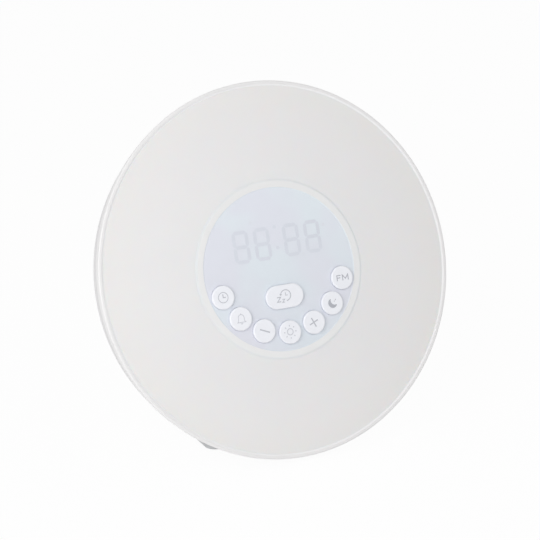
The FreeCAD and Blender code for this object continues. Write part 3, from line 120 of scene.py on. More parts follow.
# %% A finish: one material and its nodes
class Finish:
    """The nodes of one material, or of the sky, built round a shader."""

    def __init__(self, name, **constants):
        self.material = bpy.data.materials.new(name)
        self.material.use_nodes = True
        self.start(self.material.node_tree, "ShaderNodeOutputMaterial")
        self.place = self.node("ShaderNodeTexCoord", {}, {}).outputs["Object"]
        self.shader = self.node("ShaderNodeBsdfPrincipled", {}, constants)
        self.show(self.shader.outputs[0])

    def start(self, tree, output):
        self.tree = tree
        tree.nodes.clear()
        self.output = self.node(output, {}, {})

    def show(self, surface):
        self.feed(self.output.inputs["Surface"], surface)

    def node(self, kind, settings, values):
        """Add a node, set its own settings and then feed its sockets."""
        node = self.tree.nodes.new(kind)
        for name, value in settings.items():
            setattr(node, name, value)
        for key, value in values.items():
            self.feed(node.inputs[key], value)
        return node

    def feed(self, socket, value):
        value = getattr(value, "socket", value)
        if isinstance(value, bpy.types.NodeSocket):
            self.tree.links.new(value, socket)
        else:
            socket.default_value = value

    def set(self, name, value):
        self.feed(self.shader.inputs[name], value)

    def noise(self, size, detail=2.0, spread=0.5):
        """Soft noise whose lumps are about that many millimetres across."""
        values = {"Vector": self.place, "Scale": 1 / (size * MILLIMETRE), "Detail": detail,
                  "Roughness": spread}
        return Number(self, self.node("ShaderNodeTexNoise", {}, values).outputs[0])

    def along(self, direction):
        """Millimetres from the middle of the disc along a direction of it."""
        offset = self.node("ShaderNodeVectorMath", {"operation": "SUBTRACT"},
                           {0: self.place, 1: MIDDLE})
        dot = self.node("ShaderNodeVectorMath", {"operation": "DOT_PRODUCT"},
                        {0: offset.outputs[0], 1: direction})
        return Number(self, dot.outputs["Value"]) * (1 / MILLIMETRE)

    def mix(self, share, first, second):
        """A colour between two colours."""
        values = {"Factor": share, "A": first, "B": second}
        node = self.node("ShaderNodeMix", {"data_type": "RGBA"}, {})
        for socket in node.inputs:
            if socket.enabled and socket.name in values:
                self.feed(socket, values[socket.name])
        return [socket for socket in node.outputs if socket.enabled][0]

    def bump(self, height, depth):
        """A relief of that many millimetres, drawn from a height of 0 to 1."""
        values = {"Height": height, "Distance": depth * MILLIMETRE, "Strength": 1.0}
        self.set("Normal", self.node("ShaderNodeBump", {}, values).outputs[0])


def paint(red, green, blue):
    """A colour as a screen shows it, 0 to 255, in the linear form that shaders take."""
    def linear(value):
        value /= 255
        return value / 12.92 if value <= 0.04045 else ((value + 0.055) / 1.055) ** 2.4
    return (linear(red), linear(green), linear(blue), 1.0)


def shade(colour, share):
    """The same colour, lighter or darker."""
    return tuple(value * share for value in colour[:3]) + (1.0,)


print("white of the case:", [round(value, 3) for value in paint(239, 238, 238)])

# %% [markdown]
# ## Moulded plastic
#
# Almost everything that shows is injection moulded plastic. It is never one
# flat colour: the tint drifts a little over a few centimetres, the gloss
# drifts with the flow of the melt, and the mould leaves a fine grain. One
# function gives a finish its gloss and its grain, and a second one adds the
# drifting tint. The sizes of drift and grain are in millimetres.

# %% A recipe for moulded plastic
FLOW = 22.0
FLOW_GLOSS = 0.12
GRAIN_GLOSS = 0.08


def uncoloured(name, roughness, grain=0.35, depth=0.004):
    """Plastic with a slow drift of gloss and a fine moulded grain, and the noise of that drift."""
    finish = Finish(name)
    slow = finish.noise(FLOW, detail=3.0)
    fine = finish.noise(grain, detail=3.0, spread=0.6)
    finish.set("Roughness", roughness + (slow - 0.5) * FLOW_GLOSS + (fine - 0.5) * GRAIN_GLOSS)
    finish.bump(fine, depth)
    return finish, slow


def moulded(name, colour, roughness, grain=0.35, depth=0.004, drift=0.03):
    """The same with a colour, whose tint drifts along with the gloss."""
    finish, slow = uncoloured(name, roughness, grain, depth)
    finish.set("Base Color", finish.mix(slow, shade(colour, 1 - drift), shade(colour, 1 + drift / 2)))
    return finish


WHITE_CASE = moulded("white_case", paint(239, 238, 238), 0.36)
WHITE_SHELL = moulded("white_shell", paint(228, 227, 228), 0.42, grain=0.5, depth=0.008)
BEZEL_WHITE = moulded("bezel_white", paint(239, 239, 239), 0.34, depth=0.002)
# Lighter than the face and the rim it sits between: painted light that evens out the shade of the groove by
# the lip.
PAINTED_LIGHT_SEAL = moulded("painted_light_seal", paint(245, 244, 245), 0.60, depth=0.002)
STAND_GREY = moulded("stand_grey", paint(205, 206, 208), 0.50, grain=0.6, depth=0.012)
MARK_GREY = moulded("mark_grey", paint(197, 199, 206), 0.55, drift=0.06)
PALE_GREY = moulded("pale_grey", paint(211, 213, 220), 0.55, drift=0.05)
LETTER_GREY = moulded("letter_grey", paint(187, 189, 197), 0.55, drift=0.06)
MOON_GREY = moulded("moon_grey", paint(182, 184, 192), 0.55, drift=0.06)
RAISED_GREY = moulded("raised_grey", paint(196, 196, 199), 0.50, drift=0.05)
print("plastics:", len(bpy.data.materials))

# %% [markdown]
# ## The diffusing face
#
# The face is a milky sheet that spreads the light of the lamps behind it. Its
# tint is a warm white, it is a touch warmer towards the edge, where the sheet
# meets the rim, and it has the soft gloss of acrylic.

# %% The face's finish
FACE_EDGE = (60.0, 84.0)
EDGE_WARMTH = 0.7


def face_finish():
    finish = Finish("diffuser", **{"IOR": 1.49, "Subsurface Weight": 0.12, "Subsurface Scale": 0.004})
    slow = finish.noise(35.0, detail=2.0)
    fine = finish.noise(0.6, detail=3.0)
    across, up = finish.along(ACROSS), finish.along(UP_FACE)
    edge = (across * across + up * up).to(0.5).between(*FACE_EDGE)
    clean = finish.mix(slow, paint(236, 234, 235), paint(239, 237, 237))
    finish.set("Base Color", finish.mix(edge * EDGE_WARMTH, clean, paint(238, 235, 233)))
    finish.set("Roughness", 0.44 + (slow - 0.5) * 0.1 + (fine - 0.5) * 0.05)
    finish.bump(fine, 0.004)
    return finish


DIFFUSER = face_finish()
print("face:", DIFFUSER.material.name)

# %% [markdown]
# ## The display window
#
# The window is a smooth sheet with a pale blue tint. Seen closely, the tint
# drifts between a cyan and a lilac, and it darkens a little towards the keys.
# Two layers of noise and a slow ramp up the face give that.

# %% The window's finish
WINDOW_RAMP = (-36.0, 34.0)
CYAN_LOW, CYAN_HIGH = paint(224, 231, 238), paint(230, 238, 244)
LILAC_LOW, LILAC_HIGH = paint(226, 227, 236), paint(230, 233, 242)


def window_finish():
    finish = Finish("display_blue", **{"IOR": 1.49})
    slow = finish.noise(30.0, detail=2.0)
    broad = finish.noise(16.0, detail=1.0)
    height = finish.along(UP_FACE).between(*WINDOW_RAMP)
    cyan = finish.mix(height, CYAN_LOW, CYAN_HIGH)
    lilac = finish.mix(height, LILAC_LOW, LILAC_HIGH)
    finish.set("Base Color", finish.mix(slow.between(0.38, 0.62), cyan, lilac))
    finish.set("Roughness", 0.24 + (broad - 0.5) * 0.1)
    finish.bump(finish.noise(1.2, detail=2.0), 0.001)
    return finish


DISPLAY_BLUE = window_finish()
DIGIT_GREY = moulded("digit_grey", paint(220, 224, 233), 0.30, depth=0.001, drift=0.04)
FAINT_GREY = moulded("faint_grey", paint(223, 227, 235), 0.30, depth=0.001, drift=0.03)
print("window:", DISPLAY_BLUE.material.name)

# %% [markdown]
# ## The key caps
#
# The caps are a cool white, and their tops catch the light. Their short sides
# are painted darker and bluer: painted shade from the gap and a painted
# reflection of the blue of the window. The sides lie lower than the tops, so a
# soft step along the direction that points out of the face tells one from the
# other.

# %% The caps' finish
KEY_TOP = 3.2
# The heights over which the painted shade of the sides gives way to the cap's white.
PAINTED_SHADE_STEP = (KEY_TOP - 0.95, KEY_TOP - 0.35)


def key_finish():
    finish = uncoloured("key_white", 0.38, depth=0.003)[0]
    top = finish.noise(9.0, detail=2.0)
    # The sides' colour is painted shade and a painted reflection of the window's blue.
    side = finish.mix(top, paint(228, 231, 240), paint(234, 237, 245))
    cap = finish.mix(top, paint(242, 244, 250), paint(246, 247, 252))
    finish.set("Base Color", finish.mix(finish.along(OUTWARD).between(*PAINTED_SHADE_STEP), side, cap))
    return finish


KEY_WHITE = key_finish()
print("keys:", KEY_WHITE.material.name)

# %% [markdown]
# ## Metals, rubber and boards
#
# The pieces inside and behind still get their own finish: plated screws, the
# cell's pressed can, green circuit boards, black mouldings and soft rubber.

# %% Finishes of the smaller pieces
def metal(name, colour, roughness, brushed=0.25):
    finish = Finish(name, Metallic=1.0)
    scratch = finish.noise(brushed, detail=4.0)
    finish.set("Base Color", finish.mix(finish.noise(6.0), shade(colour, 0.9), colour))
    finish.set("Roughness", roughness + (scratch - 0.5) * 0.2)
    finish.bump(scratch, 0.002)
    return finish


def board(name, colour):
    """Circuit board lacquer over a faint weave."""
    finish = Finish(name, **{"Coat Weight": 0.4, "Coat Roughness": 0.15})
    weave = finish.noise(0.8, detail=1.0)
    tracks = finish.noise(3.0, detail=0.0).between(0.52, 0.56)
    finish.set("Base Color", finish.mix(tracks, colour, shade(colour, 1.5)))
    finish.set("Roughness", 0.4 + (weave - 0.5) * 0.1)
    finish.bump(weave, 0.01)
    return finish


FINISHES = {
    "white_shell": WHITE_SHELL,
    "diffuser": DIFFUSER,
    "bezel_white": BEZEL_WHITE,
    "window_pane": DISPLAY_BLUE,
    "key_cap": KEY_WHITE,
    "stand_grey": STAND_GREY,
    "segment_grey": DIGIT_GREY,
    "mask_sheet": moulded("mask_sheet", paint(205, 211, 222), 0.5),
    "switch_button": moulded("switch_button", paint(72, 72, 74), 0.4),
    "switch_body": moulded("switch_body", paint(40, 40, 42), 0.5),
    "module_black": moulded("module_black", paint(74, 76, 80), 0.5),
    "chip_black": moulded("chip_black", paint(32, 32, 34), 0.5),
    "jack_black": moulded("jack_black", paint(38, 38, 40), 0.45),
    "soft_black": moulded("soft_black", paint(46, 46, 47), 0.75, grain=0.5, depth=0.01),
    "speaker_cone": moulded("speaker_cone", paint(52, 52, 54), 0.8, grain=0.8, depth=0.03),
    "speaker_steel": moulded("speaker_steel", paint(66, 66, 68), 0.35),
    "lamp_warm": moulded("lamp_warm", paint(236, 214, 130), 0.3),
    "lamp_colour": moulded("lamp_colour", paint(232, 232, 236), 0.2),
    "reflector_white": moulded("reflector_white", paint(240, 240, 240), 0.5),
    "lead_red": moulded("lead_red", paint(176, 44, 38), 0.5),
    "board_green": board("board_green", (0.03, 0.17, 0.08, 1)),
    "board_white": board("board_white", (0.55, 0.55, 0.53, 1)),
    "steel": metal("steel", (0.62, 0.62, 0.64, 1), 0.32),
    "can_metal": metal("can_metal", (0.72, 0.73, 0.75, 1), 0.35),
    "cell_steel": metal("cell_steel", (0.75, 0.75, 0.76, 1), 0.22),
    "copper": metal("copper", (0.70, 0.40, 0.20, 1), 0.3),
}

for subpart in frame["record"]["subparts"]:
    finish = FINISHES[subpart["material_slot"]]
    if subpart["node"] == "rim_ring":
        finish = WHITE_CASE
    for slot in frame["nodes"][subpart["node"]].material_slots:
        slot.material = finish.material

# %% [markdown]
# ## Thin marks from ribbons
#
# The marks on the keys are thin printed lines. Each is a ribbon: a path with
# a width, laid on the top of the key and a few hundredths of a millimetre
# thick, so that it is a real solid and not a picture. Rings, bars and
# crescents all come from the same two helpers, one for lines and one for
# filled shapes.

# %% Ribbons and plates
MARK_LIFT = 0.03
MARK_SINK = 0.05
# A bend widens its ribbon by at most one over this.
SHARPEST = 0.35
# The corners of a ribbon's section, in pairs, one for each of its four sides.
SECTION_SIDES = ((0, 1), (1, 3), (3, 2), (2, 0))


def ribbon(mesh, points, width, top, closed=False, thickness=MARK_LIFT + MARK_SINK):
    """A flat line of that width along points of the disc, in millimetres."""
    points = [Vector(point) for point in points]
    count = len(points)
    rings = []
    for index, point in enumerate(points):
        steps = []
        if closed or index:
            steps.append((point - points[index - 1]).normalized())
        if closed or index < count - 1:
            steps.append((points[(index + 1) % count] - point).normalized())
        middle = sum(steps, Vector((0, 0))).normalized()
        reach = width / 2 / max(middle.dot(steps[0]), SHARPEST)
        aside = Vector((-middle.y, middle.x)) * reach
        rings.append([mesh.verts.new((corner.x, corner.y, level))
                      for level in (top - thickness, top)
                      for corner in (point + aside, point - aside)])
    pairs = list(zip(rings, rings[1:])) + ([(rings[-1], rings[0])] if closed else [])
    for near, far in pairs:
        for a, b in SECTION_SIDES:
            mesh.faces.new((near[a], near[b], far[b], far[a]))
    if not closed:
        mesh.faces.new([rings[0][index] for index in (0, 2, 3, 1)])
        mesh.faces.new([rings[-1][index] for index in (0, 1, 3, 2)])


def plate(mesh, points, top, thickness=MARK_LIFT + MARK_SINK):
    """A filled shape with that outline, anticlockwise."""
    low, high = [[mesh.verts.new((x, y, level)) for x, y in points]
                 for level in (top - thickness, top)]
    mesh.faces.new(high)
    mesh.faces.new(list(reversed(low)))
    for index in range(len(points)):
        after = (index + 1) % len(points)
        mesh.faces.new((low[index], low[after], high[after], high[index]))


def arc(x, y, radius, start, stop, steps=32):
    """Points round a circle from one angle to another, in degrees."""
    turns = [math.radians(start + (stop - start) * step / steps) for step in range(steps + 1)]
    return [(x + radius * math.cos(angle), y + radius * math.sin(angle)) for angle in turns]


def ring(x, y, radius, steps=40):
    """Points all round a circle."""
    return arc(x, y, radius, 0, 360, steps)[:-1]


def piece_of(data, name, finish, body, place):
    """An object that rides on a body, from a mesh drawn in millimetres."""
    data.transform(place)
    data.materials.clear()
    data.materials.append(finish.material)
    piece = bpy.data.objects.new(name, data)
    bpy.context.collection.objects.link(piece)
    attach(piece, body)
    print(name, "has", len(data.polygons), "faces")
    return piece


def finished(name, mesh, finish, body, place=ON_DISC):
    """The same from a bmesh, with its faces turned outwards."""
    bmesh.ops.recalc_face_normals(mesh, faces=mesh.faces)
    data = bpy.data.meshes.new(name)
    mesh.to_mesh(data)
    mesh.free()
    return piece_of(data, name, finish, body, place)


print("a ring has", len(ring(0, 0, 2.35)), "points")

# %% [markdown]
# ## The marks on the keys
#
# Seven round keys lie on an arc: time, alarm, less, light, more, sleep and
# radio. The minus and the plus are turned with the arc, and the other marks
# stand upright. The wide key in the middle is for snooze. Each mark rides on
# the body of its key, so it goes down with the key when that is pushed. The
# drawings are in millimetres from the middle of the key.

# %% Where the keys are
KEY_RADIUS = 5.35
KEY_ARC_RADIUS = 31.5
KEY_ARC_HEIGHT = 2.9
KEY_PITCH = 23.0
KEY_NAMES = ("time", "alarm", "minus", "light", "plus", "sleep", "radio")
SNOOZE_PLACE = Vector((0, -12.4))
SNOOZE_HALF_WIDTH, SNOOZE_HALF_HEIGHT = 9.25, 5.35
# Some marks lie a little off the middle of their key in the photo.
NUDGES = {"time": (-0.2, 0), "light": (-0.25, 0.15), "plus": (-0.4, 0), "snooze": (-0.6, 0.1)}


def key_angle(name):
    """How far round the arc a key lies, in degrees from the lowest one."""
    return (KEY_NAMES.index(name) - KEY_NAMES.index("light")) * KEY_PITCH


def key_place(name):
    """The middle of a round key on the face of the disc."""
    angle = math.radians(key_angle(name))
    return Vector((KEY_ARC_RADIUS * math.sin(angle), KEY_ARC_HEIGHT - KEY_ARC_RADIUS * math.cos(angle)))


def mark_place(name, place):
    """The middle of the mark on the key at that place."""
    return place + Vector(NUDGES.get(name, (0, 0)))


def turned(points, angle, place):
    """Points turned about the origin and moved to a place."""
    spin = Matrix.Rotation(math.radians(angle), 2)
    return [tuple(spin @ Vector(point) + place) for point in points]


print("keys at", [tuple(round(value, 1) for value in key_place(name)) for name in KEY_NAMES])

# %% One function draws the marks of each key
MARK_TOP = KEY_TOP + MARK_LIFT
LINE = 0.46
THIN_LINE = 0.34
THICK_LINE = 0.6
LETTER_LINE = 0.44
FINE_LINE = 0.28


def lines_on(name, place, lines, angle, plates, finish):
    """Marks on one key: lines are (points, width, closed), plates are outlines."""
    mesh = bmesh.new()
    for points, width, closed in lines:
        ribbon(mesh, turned(points, angle, place), width, MARK_TOP, closed)
    for points in plates:
        plate(mesh, turned(points, angle, place), MARK_TOP)
    return finished(name + "_mark", mesh, finish, name + "_key_body")


def time_lines():
    hands = [(0, 1.5), (0, 0), (1.25, 0)]
    return [(ring(0, 0, 2.3), THIN_LINE, True), (hands, LINE, False)]


def bell_lines():
    side = [(1.95, -1.55), (1.45, -0.95), (1.35, 0.5)]
    dome = arc(0, 0.55, 1.35, 0, 180, 16)
    outline = side + dome[1:-1] + [(-x, y) for x, y in reversed(side)]
    return [(outline, THIN_LINE, True), (arc(0, -1.75, 0.55, 200, 340, 8), THIN_LINE, False),
            ([(0, 1.95), (0, 2.4)], THIN_LINE, False)]


def sun_lines():
    near, far, count = 2.4, 3.1, 8
    rays = [([(near * math.cos(angle), near * math.sin(angle)),
              (far * math.cos(angle), far * math.sin(angle))], LINE, False)
            for angle in (math.radians(360 / count * step) for step in range(count))]
    return [(ring(0, 0, 1.4), LINE, True)] + rays


def plus_lines():
    arm, half = 2.3, THICK_LINE / 2
    return [([(-arm, 0), (arm, 0)], THICK_LINE, False), ([(0, half), (0, arm)], THICK_LINE, False),
            ([(0, -arm), (0, -half)], THICK_LINE, False)]


def crescent():
    outer = arc(-0.05, -0.05, 2.2, 125, 325, 28)
    inner = arc(1.05, 1.05, 1.95, 296, 154, 24)
    return outer + inner


def on_key(name, lines, angle=0, plates=(), finish=MARK_GREY):
    """The marks of a round key."""
    return lines_on(name, mark_place(name, key_place(name)), lines, angle, plates, finish)


on_key("time", time_lines())
on_key("alarm", bell_lines(), finish=PALE_GREY)
on_key("minus", [([(-2.5, 0), (2.5, 0)], THICK_LINE, False)], key_angle("minus"))
on_key("light", sun_lines(), finish=PALE_GREY)
on_key("plus", plus_lines(), key_angle("plus"))
sleep_rays = [([(0.7, 0.5), (1.0, 0.9)], FINE_LINE, False), ([(1.3, 1.0), (1.75, 1.6)], FINE_LINE, False)]
on_key("sleep", sleep_rays, plates=[crescent()], finish=MOON_GREY)

# %% The radio and snooze marks
def letter_f(x, width, height):
    edge = x + LETTER_LINE / 2
    return [([(x, 0), (x, height)], LETTER_LINE, False),
            ([(edge, height - LETTER_LINE / 2), (x + width, height - LETTER_LINE / 2)], LETTER_LINE, False),
            ([(edge, height * 0.52), (x + width * 0.85, height * 0.52)], LETTER_LINE, False)]


def letter_m(x, width, height):
    top = height - 0.2
    return [([(x, 0), (x, top), (x + width / 2, height * 0.3), (x + width, top), (x + width, 0)],
             LETTER_LINE, False)]


def letter_z(x, y, size, width):
    right = x + size * 0.9
    return [([(x, y + size), (right, y + size), (x, y), (right, y)], width, False)]


letters = letter_f(0, 1.9, 2.7) + letter_m(2.75, 2.75, 2.7)
radio = [([(x - 2.75, y - 1.35) for x, y in points], width, closed) for points, width, closed in letters]
on_key("radio", radio, finish=LETTER_GREY)

snooze = [(arc(0.9, 0.35, 2.45, -86, 172, 36), LETTER_LINE, False),
          ([(-1.95, 1.25), (-1.53, 0.55), (-0.85, 1.0)], 0.3, False),
          ([(0.9, 1.7), (0.9, 0.35), (1.9, 0.35)], 0.34, False)]
snooze += letter_z(-3.5, -2.2, 2.0, LETTER_LINE) + letter_z(-1.0, -2.6, 1.3, 0.36)
lines_on("snooze", mark_place("snooze", SNOOZE_PLACE), snooze, 0, (), MARK_GREY)

# %% [markdown]
# ## Geometry Nodes for what repeats
#
# The rest of the new pieces are two shapes repeated: a flat bar, for the
# digits and for the net of the speaker, and a ring, for the seals and the
# moulded rims of the back. That is what Geometry Nodes are good at: a cloud of
# points says where each copy goes, how it is turned and how long it is, and a
# tree draws the shape once and sets it on every point. The class below keeps a
# tree with named inputs, runs it and hands back a plain mesh.

# %% A small helper for node trees of geometry
class Grower:
    """A tree of Geometry Nodes with named inputs."""

    def __init__(self, name, inputs):
        self.tree = bpy.data.node_groups.new(name, "GeometryNodeTree")
        face = self.tree.interface
        face.new_socket("Points", in_out="INPUT", socket_type="NodeSocketGeometry")
        for label, kind in {**inputs, "Material": "Material"}.items():
            face.new_socket(label, in_out="INPUT", socket_type="NodeSocket" + kind)
        face.new_socket("Geometry", in_out="OUTPUT", socket_type="NodeSocketGeometry")
        self.given = self.tree.nodes.new("NodeGroupInput").outputs
        self.result = self.tree.nodes.new("NodeGroupOutput")

    def node(self, kind, settings=None, values=None):
        node = self.tree.nodes.new(kind)
        for name, value in (settings or {}).items():
            setattr(node, name, value)
        for key, value in (values or {}).items():
            if isinstance(value, bpy.types.NodeSocket):
                self.tree.links.new(value, node.inputs[key])
            else:
                node.inputs[key].default_value = value
        return node.outputs[0]

    def join(self, *parts):
        join = self.tree.nodes.new("GeometryNodeJoinGeometry")
        for part in parts:
            self.tree.links.new(part, join.inputs[0])
        return join.outputs[0]

    def value_of(self, name):
        """A number that each point carries."""
        return self.node("GeometryNodeInputNamedAttribute", {"data_type": "FLOAT"}, {"Name": name})

    def copy_to_points(self, shape):
        """Set the shape on every point, turned and stretched as the point says."""
        spin = self.node("ShaderNodeCombineXYZ", values={"Z": self.value_of("turn")})
        scale = self.node("ShaderNodeCombineXYZ", values={
            "X": self.value_of("stretch"), "Y": 1.0, "Z": 1.0})
        copies = self.node("GeometryNodeInstanceOnPoints", values={
            "Points": self.given["Points"], "Instance": shape, "Rotation": spin, "Scale": scale})
        solid = self.node("GeometryNodeRealizeInstances", values={0: copies})
        coloured = self.node("GeometryNodeSetMaterial", values={
            "Geometry": solid, "Material": self.given["Material"]})
        self.tree.links.new(coloured, self.result.inputs[0])

    def grow(self, name, points, sizes, finish, body, slot, place=ON_DISC):
        """Run the tree on points (x, y, z, turn, stretch) and make a piece of the result."""
        source = bpy.data.objects.new(name + "_points", cloud(name, points))
        bpy.context.collection.objects.link(source)
        modifier = source.modifiers.new("Grow", "NODES")
        modifier.node_group = self.tree
        sockets = {item.name: item.identifier for item in self.tree.interface.items_tree
                   if item.in_out == "INPUT"}
        for label, value in {**sizes, "Material": finish.material}.items():
            modifier[sockets[label]] = value
        source.update_tag()
        bpy.context.view_layer.update()
        graph = bpy.context.evaluated_depsgraph_get()
        made = bpy.data.meshes.new_from_object(source.evaluated_get(graph))
        made.name = name
        source.modifiers.remove(modifier)
        bpy.data.objects.remove(source)
        return piece_of(made, name, finish, body, place)


def cloud(name, points):
    """A mesh of loose points that carry their turn, in degrees, and their stretch."""
    data = bpy.data.meshes.new(name + "_cloud")
    data.from_pydata([point[:3] for point in points], [], [])
    turns = [math.radians(point[3]) for point in points]
    data.attributes.new("turn", "FLOAT", "POINT").data.foreach_set("value", turns)
    data.attributes.new("stretch", "FLOAT", "POINT").data.foreach_set("value", [p[4] for p in points])
    return data


# %% The tree of flat bars
MERGE_DISTANCE = 1e-4


def bar_tree():
    """One bar with cut or rounded corners: a filled outline that is made thick."""
    tree = Grower("flat_bars", {"Length": "Float", "Width": "Float", "Thickness": "Float",
                                "Corner Share": "Float", "Corner Steps": "Int"})
    box = tree.node("GeometryNodeCurvePrimitiveQuadrilateral", values={
        "Width": tree.given["Length"], "Height": tree.given["Width"]})
    corner = tree.node("ShaderNodeMath", {"operation": "MULTIPLY"},
                       {0: tree.given["Width"], 1: tree.given["Corner Share"]})
    outline = tree.node("GeometryNodeFilletCurve", {"mode": "POLY"},
                        {"Curve": box, "Count": tree.given["Corner Steps"], "Radius": corner})
    sheet = tree.node("GeometryNodeFillCurve", {"mode": "NGONS"}, {0: outline})
    raised = tree.node("GeometryNodeExtrudeMesh", {"mode": "FACES"}, {
        "Mesh": sheet, "Offset Scale": tree.given["Thickness"], "Individual": False})
    closed = tree.join(raised, tree.node("GeometryNodeFlipFaces", values={0: sheet}))
    tree.copy_to_points(tree.node("GeometryNodeMergeByDistance", values={
        "Geometry": closed, "Distance": MERGE_DISTANCE}))
    return tree


BARS = bar_tree()
print("bars tree:", len(BARS.tree.nodes), "nodes")

# %% The tree of rings
CORNER_STEPS = 3
CORNER_SHARE = 0.35


def ring_tree():
    """One ring: a section with a flat top and one sloped side, carried round a circle."""
    tree = Grower("rounded_rings", {"Radius": "Float", "Top Width": "Float", "Foot Width": "Float",
                                    "Foot Offset": "Float", "Height": "Float", "Roundness": "Float",
                                    "Steps": "Int", "Smooth": "Bool"})
    box = tree.node("GeometryNodeCurvePrimitiveQuadrilateral", {"mode": "TRAPEZOID"}, {
        "Bottom Width": tree.given["Top Width"], "Top Width": tree.given["Foot Width"],
        "Offset": tree.given["Foot Offset"], "Height": tree.given["Height"]})
    section = tree.node("GeometryNodeFilletCurve", {"mode": "POLY"}, {
        "Curve": box, "Count": CORNER_STEPS, "Radius": tree.given["Roundness"]})
    path = tree.node("GeometryNodeCurvePrimitiveCircle", {"mode": "RADIUS"}, {
        "Resolution": tree.given["Steps"], "Radius": tree.given["Radius"]})
    solid = tree.node("GeometryNodeCurveToMesh", values={"Curve": path, "Profile Curve": section})
    tree.copy_to_points(tree.node("GeometryNodeSetShadeSmooth", values={
        "Geometry": solid, "Shade Smooth": tree.given["Smooth"]}))
    return tree


RINGS = ring_tree()


def rings_at(name, places, top, radius, width, height, finish, slot="white_shell", place=ON_DISC,
             steps=96, spread=0.0, smooth=False):
    """Rings of one size whose tops lie at one height and whose feet may spread to one side."""
    points = [(x, y, top - height / 2, 0, 1) for x, y in places]
    sizes = {"Radius": radius, "Top Width": width, "Foot Width": width + abs(spread),
             "Foot Offset": spread / 2, "Height": height, "Roundness": min(width, height) * CORNER_SHARE,
             "Steps": steps, "Smooth": smooth}
    return RINGS.grow(name, points, sizes, finish, "clock", slot, place)


print("rings tree:", len(RINGS.tree.nodes), "nodes")

# %% [markdown]
# ## Seals in the joints of the front
#
# The rim, the face, the bezel, the window and the keys are separate mouldings
# with a fraction of a millimetre between them. Left open, those joints would
# show as hard black lines, because no light reaches their floor. In the photo
# they are faint, so a bead of sealant is assumed here. It fills the joint and
# slopes from the higher moulding down to the lower one: its foot spreads
# towards the lower side, and its tint is that of the face or the window. The
# seal by the rim is painted a lighter white than the face and the rim: painted
# light that evens out the shade of its groove. The seals round the keys are
# plain rings that stand on the window's side of the gap and leave the moving
# cap free.

# %% The large seals
MIDDLE_PLACE = [(0, 0)]
# Inner and outer radius, height of the top on the disc, thickness, how far the
# foot spreads outwards (or inwards, where it is negative) and the finish.
ROUND_SEALS = {
    "face_seal": (83.40, 83.65, 0.34, 0.40, -1.2, PAINTED_LIGHT_SEAL),
    "bezel_seal": (39.65, 39.80, 1.96, 0.25, 1.0, DIFFUSER),
    "window_seal": (37.05, 37.20, 1.96, 0.25, -1.0, DISPLAY_BLUE),
}

for name, (inner, outer, top, height, spread, finish) in ROUND_SEALS.items():
    rings_at(name, MIDDLE_PLACE, top, (inner + outer) / 2, outer - inner, height, finish,
             steps=256, spread=spread)

# %% The seals round the keys
WINDOW_TOP = 1.8
KEY_GAP = 0.25
SEAL_LAP = 0.04
KEY_SEAL_WIDTH = 0.23
KEY_SEAL_TOP = WINDOW_TOP + 0.01
KEY_SEAL_HEIGHT = 0.6

seal_radius = KEY_RADIUS + KEY_GAP + SEAL_LAP - KEY_SEAL_WIDTH / 2
rings_at("key_seals", [key_place(name) for name in KEY_NAMES], KEY_SEAL_TOP, seal_radius,
         KEY_SEAL_WIDTH, KEY_SEAL_HEIGHT, DISPLAY_BLUE, slot="window_pane")


def stadium(middle, half_length, radius):
    """Points round a rectangle with half-round ends."""
    right = arc(middle.x + half_length, middle.y, radius, -90, 90, 40)
    left = arc(middle.x - half_length, middle.y, radius, 90, 270, 40)
    return right + left


snooze_seal = bmesh.new()
grown = SNOOZE_HALF_HEIGHT + KEY_GAP + SEAL_LAP - KEY_SEAL_WIDTH / 2
ribbon(snooze_seal, stadium(SNOOZE_PLACE, SNOOZE_HALF_WIDTH - SNOOZE_HALF_HEIGHT, grown),
       KEY_SEAL_WIDTH, KEY_SEAL_TOP, closed=True, thickness=KEY_SEAL_HEIGHT)
finished("snooze_seal", snooze_seal, DISPLAY_BLUE, "clock")

# %% [markdown]
# ## The unlit digits
#
# Behind the window lie four digits of seven bars each, and a colon. Unlit,
# they show only as a slightly darker grey. The window is not clear here, so
# the bars are drawn on its front and stand out from it by a fiftieth of a
# millimetre. They have cut corners, as in any seven-bar digit, so neighbours
# nearly meet in a mitre. Three small dots beside the digits, fainter still,
# are taken to be lamps that tell which function is on.

# %% Place the bars and grow them
DIGIT_HEIGHT, DIGIT_WIDTH, DIGIT_STROKE = 14.8, 7.9, 1.6
DIGIT_MIDDLE = Vector((0.9, 12.2))
DIGIT_OFFSETS = (-17.6, -7.3, 7.1, 17.6)
MITRE_GAP = 0.5
DOT_SIZE, FAINT_SIZE = 1.6, 1.5
DIGIT_SINK, DIGIT_LIFT = 0.04, 0.02
BAR_CORNER, DOT_CORNER = 0.42, 0.48


def on_window(name, points, length, width, corner, steps, finish):
    """Bars on the window, each (x, y, turn) from the middle of the digits."""
    places = [(DIGIT_MIDDLE.x + x, DIGIT_MIDDLE.y + y, WINDOW_TOP - DIGIT_SINK, angle, 1)
              for x, y, angle in points]
    sizes = {"Length": length, "Width": width, "Thickness": DIGIT_SINK + DIGIT_LIFT,
             "Corner Share": corner, "Corner Steps": steps}
    return BARS.grow(name, places, sizes, finish, "clock", "segment_grey")


